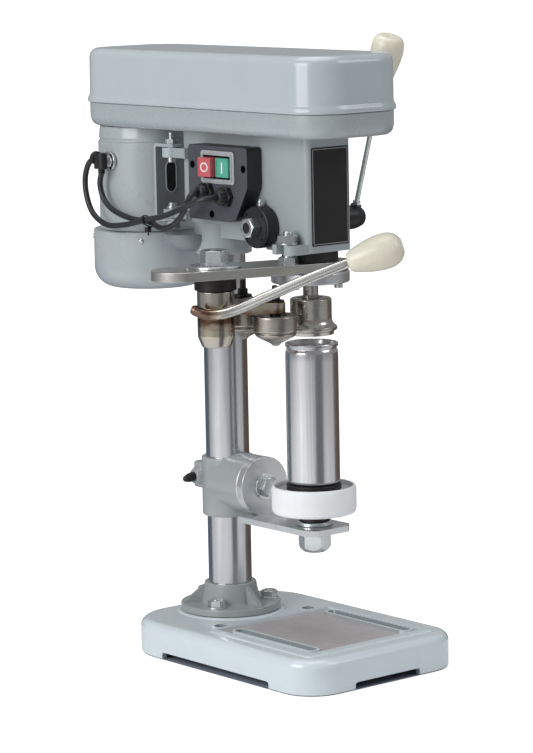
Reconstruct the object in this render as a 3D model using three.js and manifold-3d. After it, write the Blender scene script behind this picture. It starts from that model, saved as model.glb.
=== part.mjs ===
// Bench can-seaming machine: cast base, column, belt-driven seaming head with two swinging rollers,
// and a tilting arm that carries a spinning platform with a slim can on it.
// Millimetres, +Z up, the operator stands at -Y and looks towards +Y.

import * as THREE from 'three';
import { mergeVertices } from 'three/addons/utils/BufferGeometryUtils.js';
import Module from 'manifold-3d';

const wasm = await Module();
wasm.setup();

// ---------------------------------------------------------------- driving dimensions
const GAP = 0.3;                 // clearance between pieces that touch

const BASE = { halfX: 97, front: -231, rear: 54, corner: 36, rearCorner: 52, top: 33, wall: 6, edge: 7 };
const WORK = { halfX: 70, front: -200, rear: -66, depth: 1.2 };
const SLOT = { x: 58, front: -190, rear: -86, r: 5, lip: 3 };
const FLANGE = { r: 49, pad: 52, z0: 34.8, z1: 41, hubR: 24.6, hubTop: 61.3, boltR: 38.5 };
const COLUMN = { r: 21.2, bore: 18.2, z0: 38, top: 478 };

const THROAT = 129;              // column axis to spindle axis
const HEAD = { halfX: 27, front: -159, bottom: 397, top: 504.5, bossR: 27.7, bossBottom: 385 };
const PAN = { halfX: 58, front: -208, rear: 157, corner: 38, z0: 505, z1: 527.9 };
const LID = { lip: 2.2, z0: 528.2, lipTop: 535.5, top: 581, edge: 8, wall: 2.5 };
const FEED = { y: -98, z: 419, pinionR: 12.5, teeth: 12, hubEnd: 92.5, leverX: 82, lean: 17.7, reach: 182.5,
  shaftR: 7, hubR: 11.5, rodR: 2.4 };

const MOTOR = { y: 113, r: 50.8, bellR: 57.5, bottom: 344.5, bellTop: 402, bellEdge: 20, groove: 489,
  top: 504.6, shaftR: 7, gland: [110, 471] };
const LUG = { x: -30, y: 40, r: 8.8, boltR: 3.9, upper: 481, lower: 422 };   // motor's two pivots
const PULLEY = { z0: 518, step: 9, spindle: [46, 40, 34, 28], motor: [22, 28, 34, 40], belt: 0 };

const PLATE = { z0: 377.6, z1: 386.6, halfW: 26 };
const PIVOT = { x: -94, y: -104, r: 17.3, boltR: 8.1 };
const STUD = { x: -37.5, y: -142, r: 4.8 };
const BEARING = { r: 37, z0: 366.9 };
const GROOVE = 5;                // depth of a pulley's groove
const QUILL = { r: 19.8, z0: 368.5, z1: 488 };
const SPINDLE = { r: 8.4, top: 556 };
const CHUCK = { bottom: 317.3, top: 352, bodyR: 19.6, flangeR: 24.6, lipR: 21.6 };
const YOKE = { z0: 343.2, z1: 353.3, reach: 54.8, angle1: -39.4, angle2: 23.5 };
const ROLLER = { r: 21.3, axleR: 5, tip: 312.5, dish: 316, groove: 325.8, top: 341.5 };

const BRACKET = { r: 25.6, z0: 128.3, z1: 186, axisZ: 162.5, bossR: 28.5, face: -47.6 };
const CLAMP = { y: 33, r: 4 };        // table bracket's clamping screw
const ARM = { face: -56, discR: 28.5, halfX: 27, front: -157, z0: 129.5, z1: 135.2 };
const STEM = { tilt: 6, platform: 7 };   // pivot bolt's and platform bolt's shank radii
const CUP = { r: 40.2, z0: 147.1, z1: 173.7, recessR: 37, floor: 169.6 };
const CAN = { r: 25, z0: 175.5, top: 309.7 };

// ---------------------------------------------------------------- materials
const mat = (color, roughness, metalness) => new THREE.MeshStandardMaterial({ color, roughness, metalness });
const paint = mat(0xa9b6bf, 0.35, 0.1);
const palePaint = mat(0xc9d6dd, 0.35, 0.1);
const castPaint = mat(0x9aa6a6, 0.45, 0.1);
const steel = mat(0xb4b4b2, 0.3, 0.9);
const darkSteel = mat(0x7c746b, 0.45, 0.85);
const zinc = mat(0xd5dadb, 0.3, 0.8);
const aluminium = mat(0xd0d3d6, 0.35, 0.8);
const blackPlastic = mat(0x23252a, 0.5, 0.0);
const blackSteel = mat(0x2b2a29, 0.5, 0.6);
const rubber = mat(0x17181a, 0.8, 0.0);
const whitePlastic = mat(0xf1f4f6, 0.5, 0.0);
const ivory = mat(0xece7d3, 0.35, 0.0);
const red = mat(0xc0392f, 0.4, 0.0);
const green = mat(0x1f8a68, 0.4, 0.0);

// ---------------------------------------------------------------- geometry helpers
function solid(geometry) {
  const plain = geometry.clone();
  plain.deleteAttribute('normal');
  plain.deleteAttribute('uv');
  const merged = mergeVertices(plain, 1e-4);
  return new wasm.Manifold(new wasm.Mesh({
    numProp: 3,
    vertProperties: new Float32Array(merged.attributes.position.array),
    triVerts: new Uint32Array(merged.index.array),
  }));
}

function toGeometry(manifold) {
  const m = manifold.getMesh();
  const geometry = new THREE.BufferGeometry();
  geometry.setAttribute('position', new THREE.BufferAttribute(new Float32Array(m.vertProperties), 3));
  geometry.setIndex(new THREE.BufferAttribute(new Uint32Array(m.triVerts), 1));
  geometry.computeVertexNormals();
  return geometry;
}

// cylinder along Z
function cylZ(r, z0, z1, x = 0, y = 0, n = 22, rTop = r) {
  const g = new THREE.CylinderGeometry(rTop, r, z1 - z0, n);
  g.rotateX(Math.PI / 2);
  g.translate(x, y, (z0 + z1) / 2);
  return solid(g);
}

// cylinder along X
function cylX(r, x0, x1, y, z, n = 20, rEnd = r) {
  const g = new THREE.CylinderGeometry(rEnd, r, x1 - x0, n);
  g.rotateZ(-Math.PI / 2);
  g.translate((x0 + x1) / 2, y, z);
  return solid(g);
}

// cylinder along Y
function cylY(r, y0, y1, x, z, n = 20, rEnd = r) {
  const g = new THREE.CylinderGeometry(rEnd, r, y1 - y0, n);
  g.translate(x, (y0 + y1) / 2, z);
  return solid(g);
}

function box(x0, x1, y0, y1, z0, z1) {
  const g = new THREE.BoxGeometry(x1 - x0, y1 - y0, z1 - z0);
  g.translate((x0 + x1) / 2, (y0 + y1) / 2, (z0 + z1) / 2);
  return solid(g);
}

// body of revolution about Z; profile is [[r, z], ...] from the bottom axis point to the top one
function turned(profile, x = 0, y = 0, n = 24) {
  const g = new THREE.LatheGeometry(profile.map(([r, z]) => new THREE.Vector2(r, z)), n);
  g.rotateX(Math.PI / 2);
  g.translate(x, y, 0);
  return solid(g);
}

// rounded rectangle outline; the corners at y1 can have a radius of their own
function roundedRect(x0, x1, y0, y1, r, r1 = r) {
  const s = new THREE.Shape();
  s.moveTo(x0 + r, y0);
  s.lineTo(x1 - r, y0);
  s.absarc(x1 - r, y0 + r, r, -Math.PI / 2, 0, false);
  s.lineTo(x1, y1 - r1);
  s.absarc(x1 - r1, y1 - r1, r1, 0, Math.PI / 2, false);
  s.lineTo(x0 + r1, y1);
  s.absarc(x0 + r1, y1 - r1, r1, Math.PI / 2, Math.PI, false);
  s.lineTo(x0, y0 + r);
  s.absarc(x0 + r, y0 + r, r, Math.PI, 1.5 * Math.PI, false);
  return s;
}

// outline of a bar with round ends, from one centre to the other
function barShape(a, b, r) {
  const along = Math.atan2(b.y - a.y, b.x - a.x);
  const s = new THREE.Shape();
  s.absarc(b.x, b.y, r, along - Math.PI / 2, along + Math.PI / 2, false);
  s.absarc(a.x, a.y, r, along + Math.PI / 2, along + 1.5 * Math.PI, false);
  s.closePath();
  return s;
}

function prism(shape, z0, z1, curveSegments = 8) {
  const g = new THREE.ExtrudeGeometry(shape, { depth: z1 - z0, bevelEnabled: false, curveSegments });
  g.translate(0, 0, z0);
  return solid(g);
}

// prism whose top edge is rounded by stacked, shrinking slices of the same outline
function domedPrism(outline, z0, z1, edge, slices = 3) {
  let body = prism(outline(0), z0, z1 - edge, 4);
  for (let i = 0; i < slices; i += 1) {
    const a = (i / slices) * (Math.PI / 2);
    const b = ((i + 1) / slices) * (Math.PI / 2);
    const inset = edge * (1 - Math.cos(b));
    const low = z1 - edge + edge * Math.sin(a) - 0.01;
    body = body.add(prism(outline(inset), low, z1 - edge + edge * Math.sin(b), 4));
  }
  return body;
}

function hexZ(acrossFlats, z0, z1, x, y, turn = 0) {
  const g = new THREE.CylinderGeometry(acrossFlats / Math.sqrt(3), acrossFlats / Math.sqrt(3), z1 - z0, 6);
  g.rotateX(Math.PI / 2);
  g.rotateZ(turn);
  g.translate(x, y, (z0 + z1) / 2);
  return solid(g);
}

// round rod along a list of points
function rod(points, r, steps, sides = 10) {
  const curve = new THREE.CatmullRomCurve3(points.map((p) => new THREE.Vector3(...p)), false, 'centripetal');
  const section = new THREE.Shape();
  for (let i = 0; i < sides; i += 1) {
    const t = (2 * Math.PI * i) / sides;
    if (i === 0) section.moveTo(r, 0);
    else section.lineTo(r * Math.cos(t), r * Math.sin(t));
  }
  section.closePath();
  return solid(new THREE.ExtrudeGeometry(section, { steps, bevelEnabled: false, extrudePath: curve }));
}

// turned body laid along a direction from a start point; profile is [[r, distance], ...]
function turnedAlong(profile, start, direction, n = 24) {
  const g = new THREE.LatheGeometry(profile.map(([r, d]) => new THREE.Vector2(r, d)), n);
  const unit = direction.clone().normalize();
  g.applyQuaternion(new THREE.Quaternion().setFromUnitVectors(new THREE.Vector3(0, 1, 0), unit));
  g.translate(...start);
  return solid(g);
}

// black tip of the clamping screw: a tapered rod between two points
function taperedRod(a, b, r) {
  const start = new THREE.Vector3(...a);
  const direction = new THREE.Vector3(...b).sub(start);
  const far = direction.length();
  return turnedAlong([[0, 0], [r, 0], [r * 0.95, far - 6], [r * 0.55, far - 1], [0, far]], a, direction, 16);
}

// prism whose outline is drawn in the YZ plane and which runs from x0 to x1
function prismX(shape, x0, x1) {
  const g = new THREE.ExtrudeGeometry(shape, { depth: x1 - x0, bevelEnabled: false });
  g.applyMatrix4(new THREE.Matrix4().makeBasis(
    new THREE.Vector3(0, 1, 0), new THREE.Vector3(0, 0, 1), new THREE.Vector3(1, 0, 0)));
  g.translate(x0, 0, 0);
  return solid(g);
}

const radians = (degrees) => (degrees * Math.PI) / 180;
const polar = (r, degrees) => [r * Math.cos(radians(degrees)), r * Math.sin(radians(degrees))];
const outlineOf = (points) => new THREE.Shape(points.map(([x, y]) => new THREE.Vector2(x, y)));

const machine = new THREE.Group();
function add(name, manifold, material) {
  const mesh = new THREE.Mesh(toGeometry(manifold), material);
  mesh.name = name;
  machine.add(mesh);
}

// ---------------------------------------------------------------- base, flange and column
{
  const outline = (inset) => roundedRect(
    -BASE.halfX + inset, BASE.halfX - inset, BASE.front + inset, BASE.rear - inset,
    BASE.corner - inset, BASE.rearCorner - inset);
  const inner = roundedRect(-BASE.halfX + BASE.wall, BASE.halfX - BASE.wall,
    BASE.front + BASE.wall, BASE.rear - BASE.wall, BASE.corner - BASE.wall, BASE.rearCorner - BASE.wall);
  let base = domedPrism(outline, 0, BASE.top, BASE.edge)
    .add(cylZ(FLANGE.pad, BASE.top - 1, FLANGE.z0 - GAP))
    .subtract(prism(inner, -1, BASE.top - BASE.wall));
  // long low cut-outs that leave a foot at each corner
  base = base.subtract(box(-BASE.halfX - 5, BASE.halfX + 5, -173, -13, -1, 7))
    .subtract(box(-40, 40, BASE.front - 5, BASE.rear + 5, -1, 7));
  base = base.subtract(
    box(-WORK.halfX, WORK.halfX, WORK.front, WORK.rear, BASE.top - WORK.depth, BASE.top + 5));
  for (const side of [-1, 1]) {
    const x = side * SLOT.x;
    const ends = [new THREE.Vector2(x, SLOT.front), new THREE.Vector2(x, SLOT.rear)];
    const rim = prism(barShape(...ends, SLOT.r + SLOT.lip), BASE.top - 2, BASE.top + 1.6);
    base = base.add(rim).subtract(prism(barShape(...ends, SLOT.r), BASE.top - 12, BASE.top + 6));
    base = base.subtract(cylZ(6, 10, 50, side * 55, -52, 20));
  }
  add('base_casting', base, palePaint);
}
{
  let flange = cylZ(FLANGE.r, FLANGE.z0, FLANGE.z1, 0, 0, 22)
    .add(cylZ(FLANGE.hubR + 2.5, FLANGE.z1 - 1, FLANGE.hubTop, 0, 0, 32, FLANGE.hubR));
  for (const angle of [30, 150, 270]) {
    const rib = outlineOf(
      [[20, FLANGE.z1 - 1], [46, FLANGE.z1 - 1], [46, FLANGE.z1 + 1.5], [25, 59], [20, 59]]);
    const g = new THREE.ExtrudeGeometry(rib, { depth: 4, bevelEnabled: false });
    g.translate(0, 0, -2);
    g.rotateX(Math.PI / 2);
    g.rotateZ(radians(angle));
    flange = flange.add(solid(g));
  }
  add('column_flange', flange.subtract(cylZ(COLUMN.r + GAP, COLUMN.z0 - GAP, 80)), castPaint);
}
[90, 210, 330].forEach((angle, i) => {
  const [x, y] = polar(FLANGE.boltR, angle);
  const bolt = hexZ(15, FLANGE.z1 + 2.2, FLANGE.z1 + 8.6, x, y, 0.3 + i)
    .add(cylZ(9.6, FLANGE.z1 + GAP, FLANGE.z1 + 2.3, x, y, 20));
  add(`flange_bolt_${i + 1}`, bolt, zinc);
});
add('column', cylZ(COLUMN.r, COLUMN.z0, COLUMN.top, 0, 0, 26)
  .subtract(cylZ(COLUMN.bore, 0, COLUMN.top + 10, 0, 0, 22)), steel);

// ---------------------------------------------------------------- head casting
{
  const y = -THROAT;
  let head = prism(roundedRect(-HEAD.halfX, HEAD.halfX, HEAD.front, 28, 5), 416, HEAD.top, 3)
    .add(prism(roundedRect(-HEAD.halfX, HEAD.halfX, HEAD.front, -94, 5), HEAD.bottom, 420, 3))
    .add(cylZ(HEAD.bossR, HEAD.bossBottom, 440, 0, 0, 26))
    .add(box(-20, 20, -100, -20, 402, 420))
    .add(cylZ(26.5, PLATE.z1 + GAP, 400, 0, y));
  // forked ear that the plate's stud is clamped in
  head = head.add(prism(roundedRect(-47, -20, -157, -126, 7), 396.6, 405.6, 4))
    .subtract(box(-60, STUD.x, STUD.y - STUD.r - 0.5, STUD.y + STUD.r + 0.5, 390, 412))
    .subtract(cylZ(STUD.r + 0.5, 390, 412, STUD.x, STUD.y, 16));
  // rounded lower rear of the casting
  head = head.add(turned([[0, 387], [13, 387.4], [20, 391], [24, 398], [24, 404.5], [0, 404.5]], -25, 22));
  // rear lugs for the motor's two pivot bolts
  for (const [z0, z1] of [[477, 486.5], [418.5, 427]]) {
    head = head.add(cylZ(LUG.r, z0, z1, LUG.x, LUG.y, 20)).add(box(LUG.x - 4, LUG.x + 8, 14, LUG.y, z0, z1));
  }
  head = head
    .subtract(cylZ(COLUMN.r + GAP, 300, COLUMN.top + 4, 0, 0, 26))
    .subtract(cylZ(QUILL.r + GAP, 300, 496, 0, y, 26))
    .subtract(cylZ(14, 400, 600, 0, y, 24))
    .subtract(cylX(15.2, -18, 18, FEED.y, FEED.z))
    .subtract(cylX(7.4, -40, 40, FEED.y, FEED.z));
  for (const z of [LUG.upper, LUG.lower]) {
    head = head.subtract(cylZ(LUG.boltR + 0.4, z - 12, z + 12, LUG.x, LUG.y, 16));
  }
  add('head_casting', head, paint);
}

// ---------------------------------------------------------------- belt cover
const coverOutline = (grow) => (inset) => roundedRect(
  -PAN.halfX - grow + inset, PAN.halfX + grow - inset,
  PAN.front - grow + inset, PAN.rear + grow - inset, PAN.corner + grow - inset);
{
  const w = LID.wall;
  const shell = prism(coverOutline(0)(0), PAN.z0 + 5, PAN.z1, 4)
    .add(prism(coverOutline(0)(5), PAN.z0, PAN.z0 + 5.1, 4))
    .add(prism(coverOutline(0)(2), PAN.z0 + 2, PAN.z0 + 5.1, 4));
  const pan = shell.subtract(prism(coverOutline(0)(w + 2), PAN.z0 + 5, 600, 4))
    .subtract(cylZ(14, 400, 600, 0, -THROAT, 24))
    .subtract(cylZ(15, 400, 600, 0, MOTOR.y, 24));
  add('belt_cover_pan', pan, paint);
  const lid = domedPrism(coverOutline(0), LID.lipTop - 1, LID.top, LID.edge)
    .add(prism(coverOutline(LID.lip)(0), LID.z0, LID.lipTop, 4))
    .subtract(domedPrism(coverOutline(-w), LID.z0 - 1, LID.top - w, LID.edge));
  add('belt_cover_lid', lid, paint);
}

// ---------------------------------------------------------------- belt drive
function steppedPulley(radii, y, bore) {
  const profile = [[0, PULLEY.z0]];
  radii.forEach((r, i) => {
    const z = PULLEY.z0 + i * PULLEY.step;
    profile.push([r, z], [r, z + 1], [r - GROOVE, z + 2.6], [r - GROOVE, z + 6.4], [r, z + 8],
      [r, z + PULLEY.step]);
  });
  profile.push([0, PULLEY.z0 + radii.length * PULLEY.step]);
  return turned(profile, 0, y, 18).subtract(cylZ(bore, 400, 700, 0, y, 16));
}
add('spindle_pulley', steppedPulley(PULLEY.spindle, -THROAT, SPINDLE.r + 0.4), aluminium);
add('motor_pulley', steppedPulley(PULLEY.motor, MOTOR.y, MOTOR.shaftR + GAP), aluminium);
{
  // flat loop around the chosen step of both pulleys
  const z = PULLEY.z0 + PULLEY.belt * PULLEY.step;
  const big = PULLEY.spindle[PULLEY.belt];
  const small = PULLEY.motor[PULLEY.belt];
  const lean = Math.asin((big - small) / (THROAT + MOTOR.y));
  const loop = (offset) => {
    const s = new THREE.Shape();
    s.absarc(0, -THROAT, big + offset, Math.PI - lean, 2 * Math.PI + lean, false);
    s.absarc(0, MOTOR.y, small + offset, lean, Math.PI - lean, false);
    s.closePath();
    return s;
  };
  const band = prism(loop(0.6), z + 3.2, z + 5.8, 12).subtract(prism(loop(1.2 - GROOVE), z - 1, z + 12, 12));
  add('drive_belt', band, rubber);
}

// ---------------------------------------------------------------- motor
{
  const y = MOTOR.y;
  const { r, groove } = MOTOR;
  const body = turned([[0, MOTOR.bellTop + GAP], [r, MOTOR.bellTop + GAP], [r, groove], [r - 1.5, groove + 1],
    [r - 1.5, groove + 2.5], [r - 0.6, groove + 3.5], [r - 2.4, MOTOR.top], [0, MOTOR.top]], 0, y, 26);
  add('motor_body', body.subtract(cylZ(MOTOR.shaftR + GAP, 460, 520, 0, y, 20)), paint);
  const curve = [];
  for (let i = 0; i <= 5; i += 1) {
    const t = (i / 5) * (Math.PI / 2);
    const inset = MOTOR.bellEdge * (1 - Math.sin(t));
    curve.push([MOTOR.bellR - inset, MOTOR.bottom + MOTOR.bellEdge * (1 - Math.cos(t))]);
  }
  add('motor_bell', turned([[0, MOTOR.bottom], ...curve, [MOTOR.bellR, MOTOR.bellTop - 1],
    [MOTOR.bellR - 1, MOTOR.bellTop], [0, MOTOR.bellTop]], 0, y, 26), paint);
  add('motor_shaft', cylZ(MOTOR.shaftR, 470, 558, 0, y, 20), steel);
}
{
  // sheet-metal channel between the motor and the head's rear lugs
  let bracket = box(-36, 20, 57, 60, 415, 490)
    .add(box(-36, 0, 30, 60, 487, 490))
    .add(box(-36, 0, 30, 60, 415, 418));
  bracket = bracket.subtract(cylZ(MOTOR.r + GAP, 400, 495, 0, MOTOR.y, 26));
  bracket = bracket.subtract(cylZ(COLUMN.r + 8, 400, 495, 0, 0, 22));
  for (const z of [488, 416]) {
    bracket = bracket.subtract(cylZ(LUG.boltR + 0.4, z - 5, z + 5, LUG.x, LUG.y, 16));
  }
  add('motor_bracket', bracket, paint);
  add('motor_pivot_bolt_top', cylZ(LUG.boltR, 472, 494, LUG.x, LUG.y, 16)
    .add(hexZ(10, 490 + GAP, 495, LUG.x, LUG.y))
    .add(cylZ(2, 494, 501, LUG.x, LUG.y, 12)), zinc);
  add('motor_pivot_bolt_bottom', cylZ(LUG.boltR, 411, 433, LUG.x, LUG.y, 16)
    .add(hexZ(13, 408, 415 - GAP, LUG.x, LUG.y)), zinc);
  const [y, z] = MOTOR.gland;
  add('motor_gland', cylX(9, -53.8, -MOTOR.r - GAP, y, z)
    .add(cylX(5, -60, -53.6, y, z))
    .subtract(cylX(3.6, -58.8, -50, y, z, 12)), zinc);
  add('gland_boot', prism(roundedRect(-68, -57.5 - GAP, 103, 118, 3), 464, 480, 4)
    .subtract(cylX(5 + GAP, -60.3, -50, y, z, 28)), rubber);
}

// ---------------------------------------------------------------- switch box, buttons and glands
{
  const face = -46;
  const outline = outlineOf([[-94, 455], [-94, 490], [-91, 493], [-9, 493], [-6, 490], [-6, 425], [-9, 422],
    [-75, 422], [-77, 424]]);
  let housing = prismX(outline, face, -HEAD.halfX - GAP)
    .subtract(box(face - 1, face + 9, -72.5, -29.5, 461.5, 484.5));
  for (const [y, z] of [[-13, 474], [-89, 473], [-41, 428]]) {
    housing = housing.subtract(cylX(3.2, face - 1, face + 8, y, z, 16));
  }
  add('switch_box', housing, blackPlastic);
  const button = (y, out) => box(face - out, face + 4, y - 10, y + 10, 463, 483)
    .add(box(face - out - 0.6, face - out + 1, y - 9, y + 9, 464, 482));
  add('stop_button', button(-40.5, 8), red);
  add('start_button', button(-61.5, 3.5), green);
  [[-36, 449], [-64, 446]].forEach(([y, z], i) => {
    const gland = cylX(10.5, face - 6, face - GAP, y, z, 6).add(cylX(5.5, face - 13, face - 5, y, z, 24, 9))
      .subtract(cylX(2.5, face - 8, face + 2, y, z, 12));
    add(`cable_gland_${i + 1}`, gland, blackPlastic);
  });
}
{
  const r = 2.8;
  const first = [[-63, 118 + GAP, 473], [-63, 121, 473], [-63.8, 128, 469], [-65, 133, 456],
    [-65.5, 131.5, 438], [-66, 121, 420.5], [-66.5, 99, 410.6], [-67, 70, 412], [-67, 34, 419.5], [-67.5, 8, 424.5],
    [-72.5, -24, 433], [-74.5, -43, 439], [-71.5, -58, 444.5], [-64.5, -64, 446], [-61, -64, 446],
    [-59 - GAP, -64, 446]];
  const second = [[-61.5, 111, 464 - GAP], [-61.5, 111, 461], [-60.8, 115, 450], [-60.2, 112, 437],
    [-60, 99, 426], [-60, 70, 418.5], [-60, 38, 416.5], [-60.5, 19, 412], [-60.5, 2, 415.5], [-61.5, -14, 426],
    [-64.5, -27, 439], [-65.2, -34, 447], [-62.5, -36, 449], [-59 - GAP, -36, 449]];
  add('motor_lead_1', rod(first, r, 44, 8), rubber);
  add('motor_lead_2', rod(second, r, 38, 8), rubber);
  // the tie's band goes round both leads; its lock hangs below them
  const ends = [new THREE.Vector2(-67, 419.3), new THREE.Vector2(-60, 416)];
  const loop = (reach, depth, y) => {
    const outline = barShape(...ends, reach);
    const g = new THREE.ExtrudeGeometry(outline, { depth, bevelEnabled: false, curveSegments: 8 });
    g.rotateX(Math.PI / 2);
    g.translate(0, y, 0);
    return solid(g);
  };
  const band = loop(r + 2.4, 4, 38).subtract(loop(r + 1.1, 12, 42));
  add('cable_tie', band.add(box(-66, -61, 33.5, 38.5, 407, 411.8)), blackPlastic);
}

// ---------------------------------------------------------------- quill, spindle, chuck and feed
const RACK_PITCH = (2 * Math.PI * FEED.pinionR) / FEED.teeth;
{
  const y = -THROAT;
  let quill = cylZ(QUILL.r, QUILL.z0, QUILL.z1, 0, y, 26)
    .subtract(cylZ(SPINDLE.r + 0.4, 300, 520, 0, y, 24));
  for (let k = -3; k <= 5; k += 1) {
    const z = FEED.z + k * RACK_PITCH;
    quill = quill.subtract(box(-25, 25, y + 16.3, y + 30, z - 2.1, z + 2.1));
  }
  add('quill', quill, steel);
  add('spindle', cylZ(SPINDLE.r, CHUCK.top - 12, SPINDLE.top, 0, y, 24), darkSteel);
  const { bottom, top, lipR, flangeR, bodyR } = CHUCK;
  const chuck = turned([[0, bottom], [lipR, bottom], [lipR, bottom + 3.4], [flangeR, bottom + 4.4],
    [flangeR, bottom + 7.5], [bodyR + 1, bottom + 11], [bodyR, bottom + 14], [bodyR, top - 1],
    [bodyR - 1, top], [0, top]], 0, y, 26).subtract(cylZ(SPINDLE.r + GAP, top - 12 - GAP, 400, 0, y, 24));
  add('seaming_chuck', chuck, steel);
}
{
  const { y, z, shaftR } = FEED;
  let pinion = cylX(10.6, -15, 15, y, z, 24).add(cylX(shaftR, -54, 70, y, z, 24));
  for (let k = 0; k < FEED.teeth; k += 1) {
    const angle = Math.PI + (2 * Math.PI * k) / FEED.teeth;
    const tooth = [[9, -1.7], [14.2, -0.9], [14.2, 0.9], [9, 1.7]].map(([out, across]) => [
      y + out * Math.cos(angle) - across * Math.sin(angle),
      z + out * Math.sin(angle) + across * Math.cos(angle)]);
    pinion = pinion.add(prismX(outlineOf(tooth), -15, 15));
  }
  add('feed_pinion_shaft', pinion, steel);
  add('return_spring_cap', cylX(20, -41, -HEAD.halfX - GAP, y, z, 26)
    .add(cylZ(2.6, z + 18, z + 24, -33.5, y, 12))
    .subtract(cylX(shaftR + GAP, -60, 0, y, z, 24)), blackPlastic);
  const nut = new THREE.CylinderGeometry(9.2, 9.2, 10, 6);
  nut.rotateZ(Math.PI / 2);
  nut.translate(-46.5, y, z);
  add('spring_cap_nut', solid(nut).subtract(cylX(shaftR + GAP, -60, 0, y, z, 24)), zinc);
  const lean = radians(FEED.lean);
  const up = new THREE.Vector3(0, -Math.sin(lean), Math.cos(lean));
  const seat = [FEED.leverX, y, z];
  const taper = FEED.hubEnd - 11;
  const hub = cylX(FEED.hubR, HEAD.halfX + GAP, taper, y, z, 22)
    .add(cylX(FEED.hubR, taper - 0.1, FEED.hubEnd, y, z, 22, FEED.hubR - 3))
    .subtract(cylX(shaftR + GAP, 0, 70 + GAP, y, z, 24))
    .subtract(turnedAlong([[0, 7], [FEED.rodR + GAP, 7], [FEED.rodR + GAP, 40], [0, 40]], seat, up, 16));
  add('feed_hub', hub, blackPlastic);
  const { reach, rodR } = FEED;
  const rodEnd = reach - 30;
  const rodProfile = [[0, 7 + GAP], [rodR, 7 + GAP], [rodR, rodEnd], [0, rodEnd]];
  add('feed_rod', turnedAlong(rodProfile, seat, up, 16), zinc);
  const grip = [[0, -56], [6.5, -56], [7.5, -53], [10.5, -41], [14, -26], [15.7, -14], [14.8, -6],
    [12.4, -1.5], [10.2, 0], [0, 0]].map(([r, d]) => [r, reach + d]);
  const socket = turnedAlong(
    [[0, 60], [rodR + GAP, 60], [rodR + GAP, rodEnd + GAP], [0, rodEnd + GAP]], seat, up, 16);
  add('feed_handle', turnedAlong(grip, seat, up).subtract(socket), ivory);
}

// ---------------------------------------------------------------- seaming plate and its fixings
{
  const along = new THREE.Vector2(-PIVOT.x, -THROAT - PIVOT.y).normalize();
  const left = new THREE.Vector2(PIVOT.x, PIVOT.y).addScaledVector(along, -36);
  const right = new THREE.Vector2(0, -THROAT).addScaledVector(along, 11);
  const hole = new THREE.Vector2(PIVOT.x, PIVOT.y).addScaledVector(along, -30);
  const plate = prism(barShape(left, right, PLATE.halfW), PLATE.z0, PLATE.z1, 12)
    .subtract(cylZ(QUILL.r + GAP, 300, 420, 0, -THROAT, 22))
    .subtract(cylZ(PIVOT.boltR + GAP, 300, 420, PIVOT.x, PIVOT.y, 24))
    .subtract(cylZ(3.4, 300, 420, hole.x, hole.y, 16));
  add('seaming_plate', plate, steel);
  add('plate_stud', cylZ(STUD.r, PLATE.z1 + GAP, 418.3, STUD.x, STUD.y, 16), zinc);
  const nut = (z0, z1) => hexZ(17, z0, z1, STUD.x, STUD.y, 0.5)
    .subtract(cylZ(STUD.r + GAP, 300, 500, STUD.x, STUD.y, 16));
  add('stud_nut_upper', nut(405.6 + GAP, 415), zinc);
  add('stud_nut_lower', nut(PLATE.z1 + GAP, 394.5), zinc);
  add('bearing_flange', cylZ(BEARING.r, BEARING.z0, PLATE.z0 - GAP, 0, -THROAT, 26)
    .subtract(cylZ(QUILL.r + GAP, 300, 420, 0, -THROAT, 22)), aluminium);
}

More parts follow.
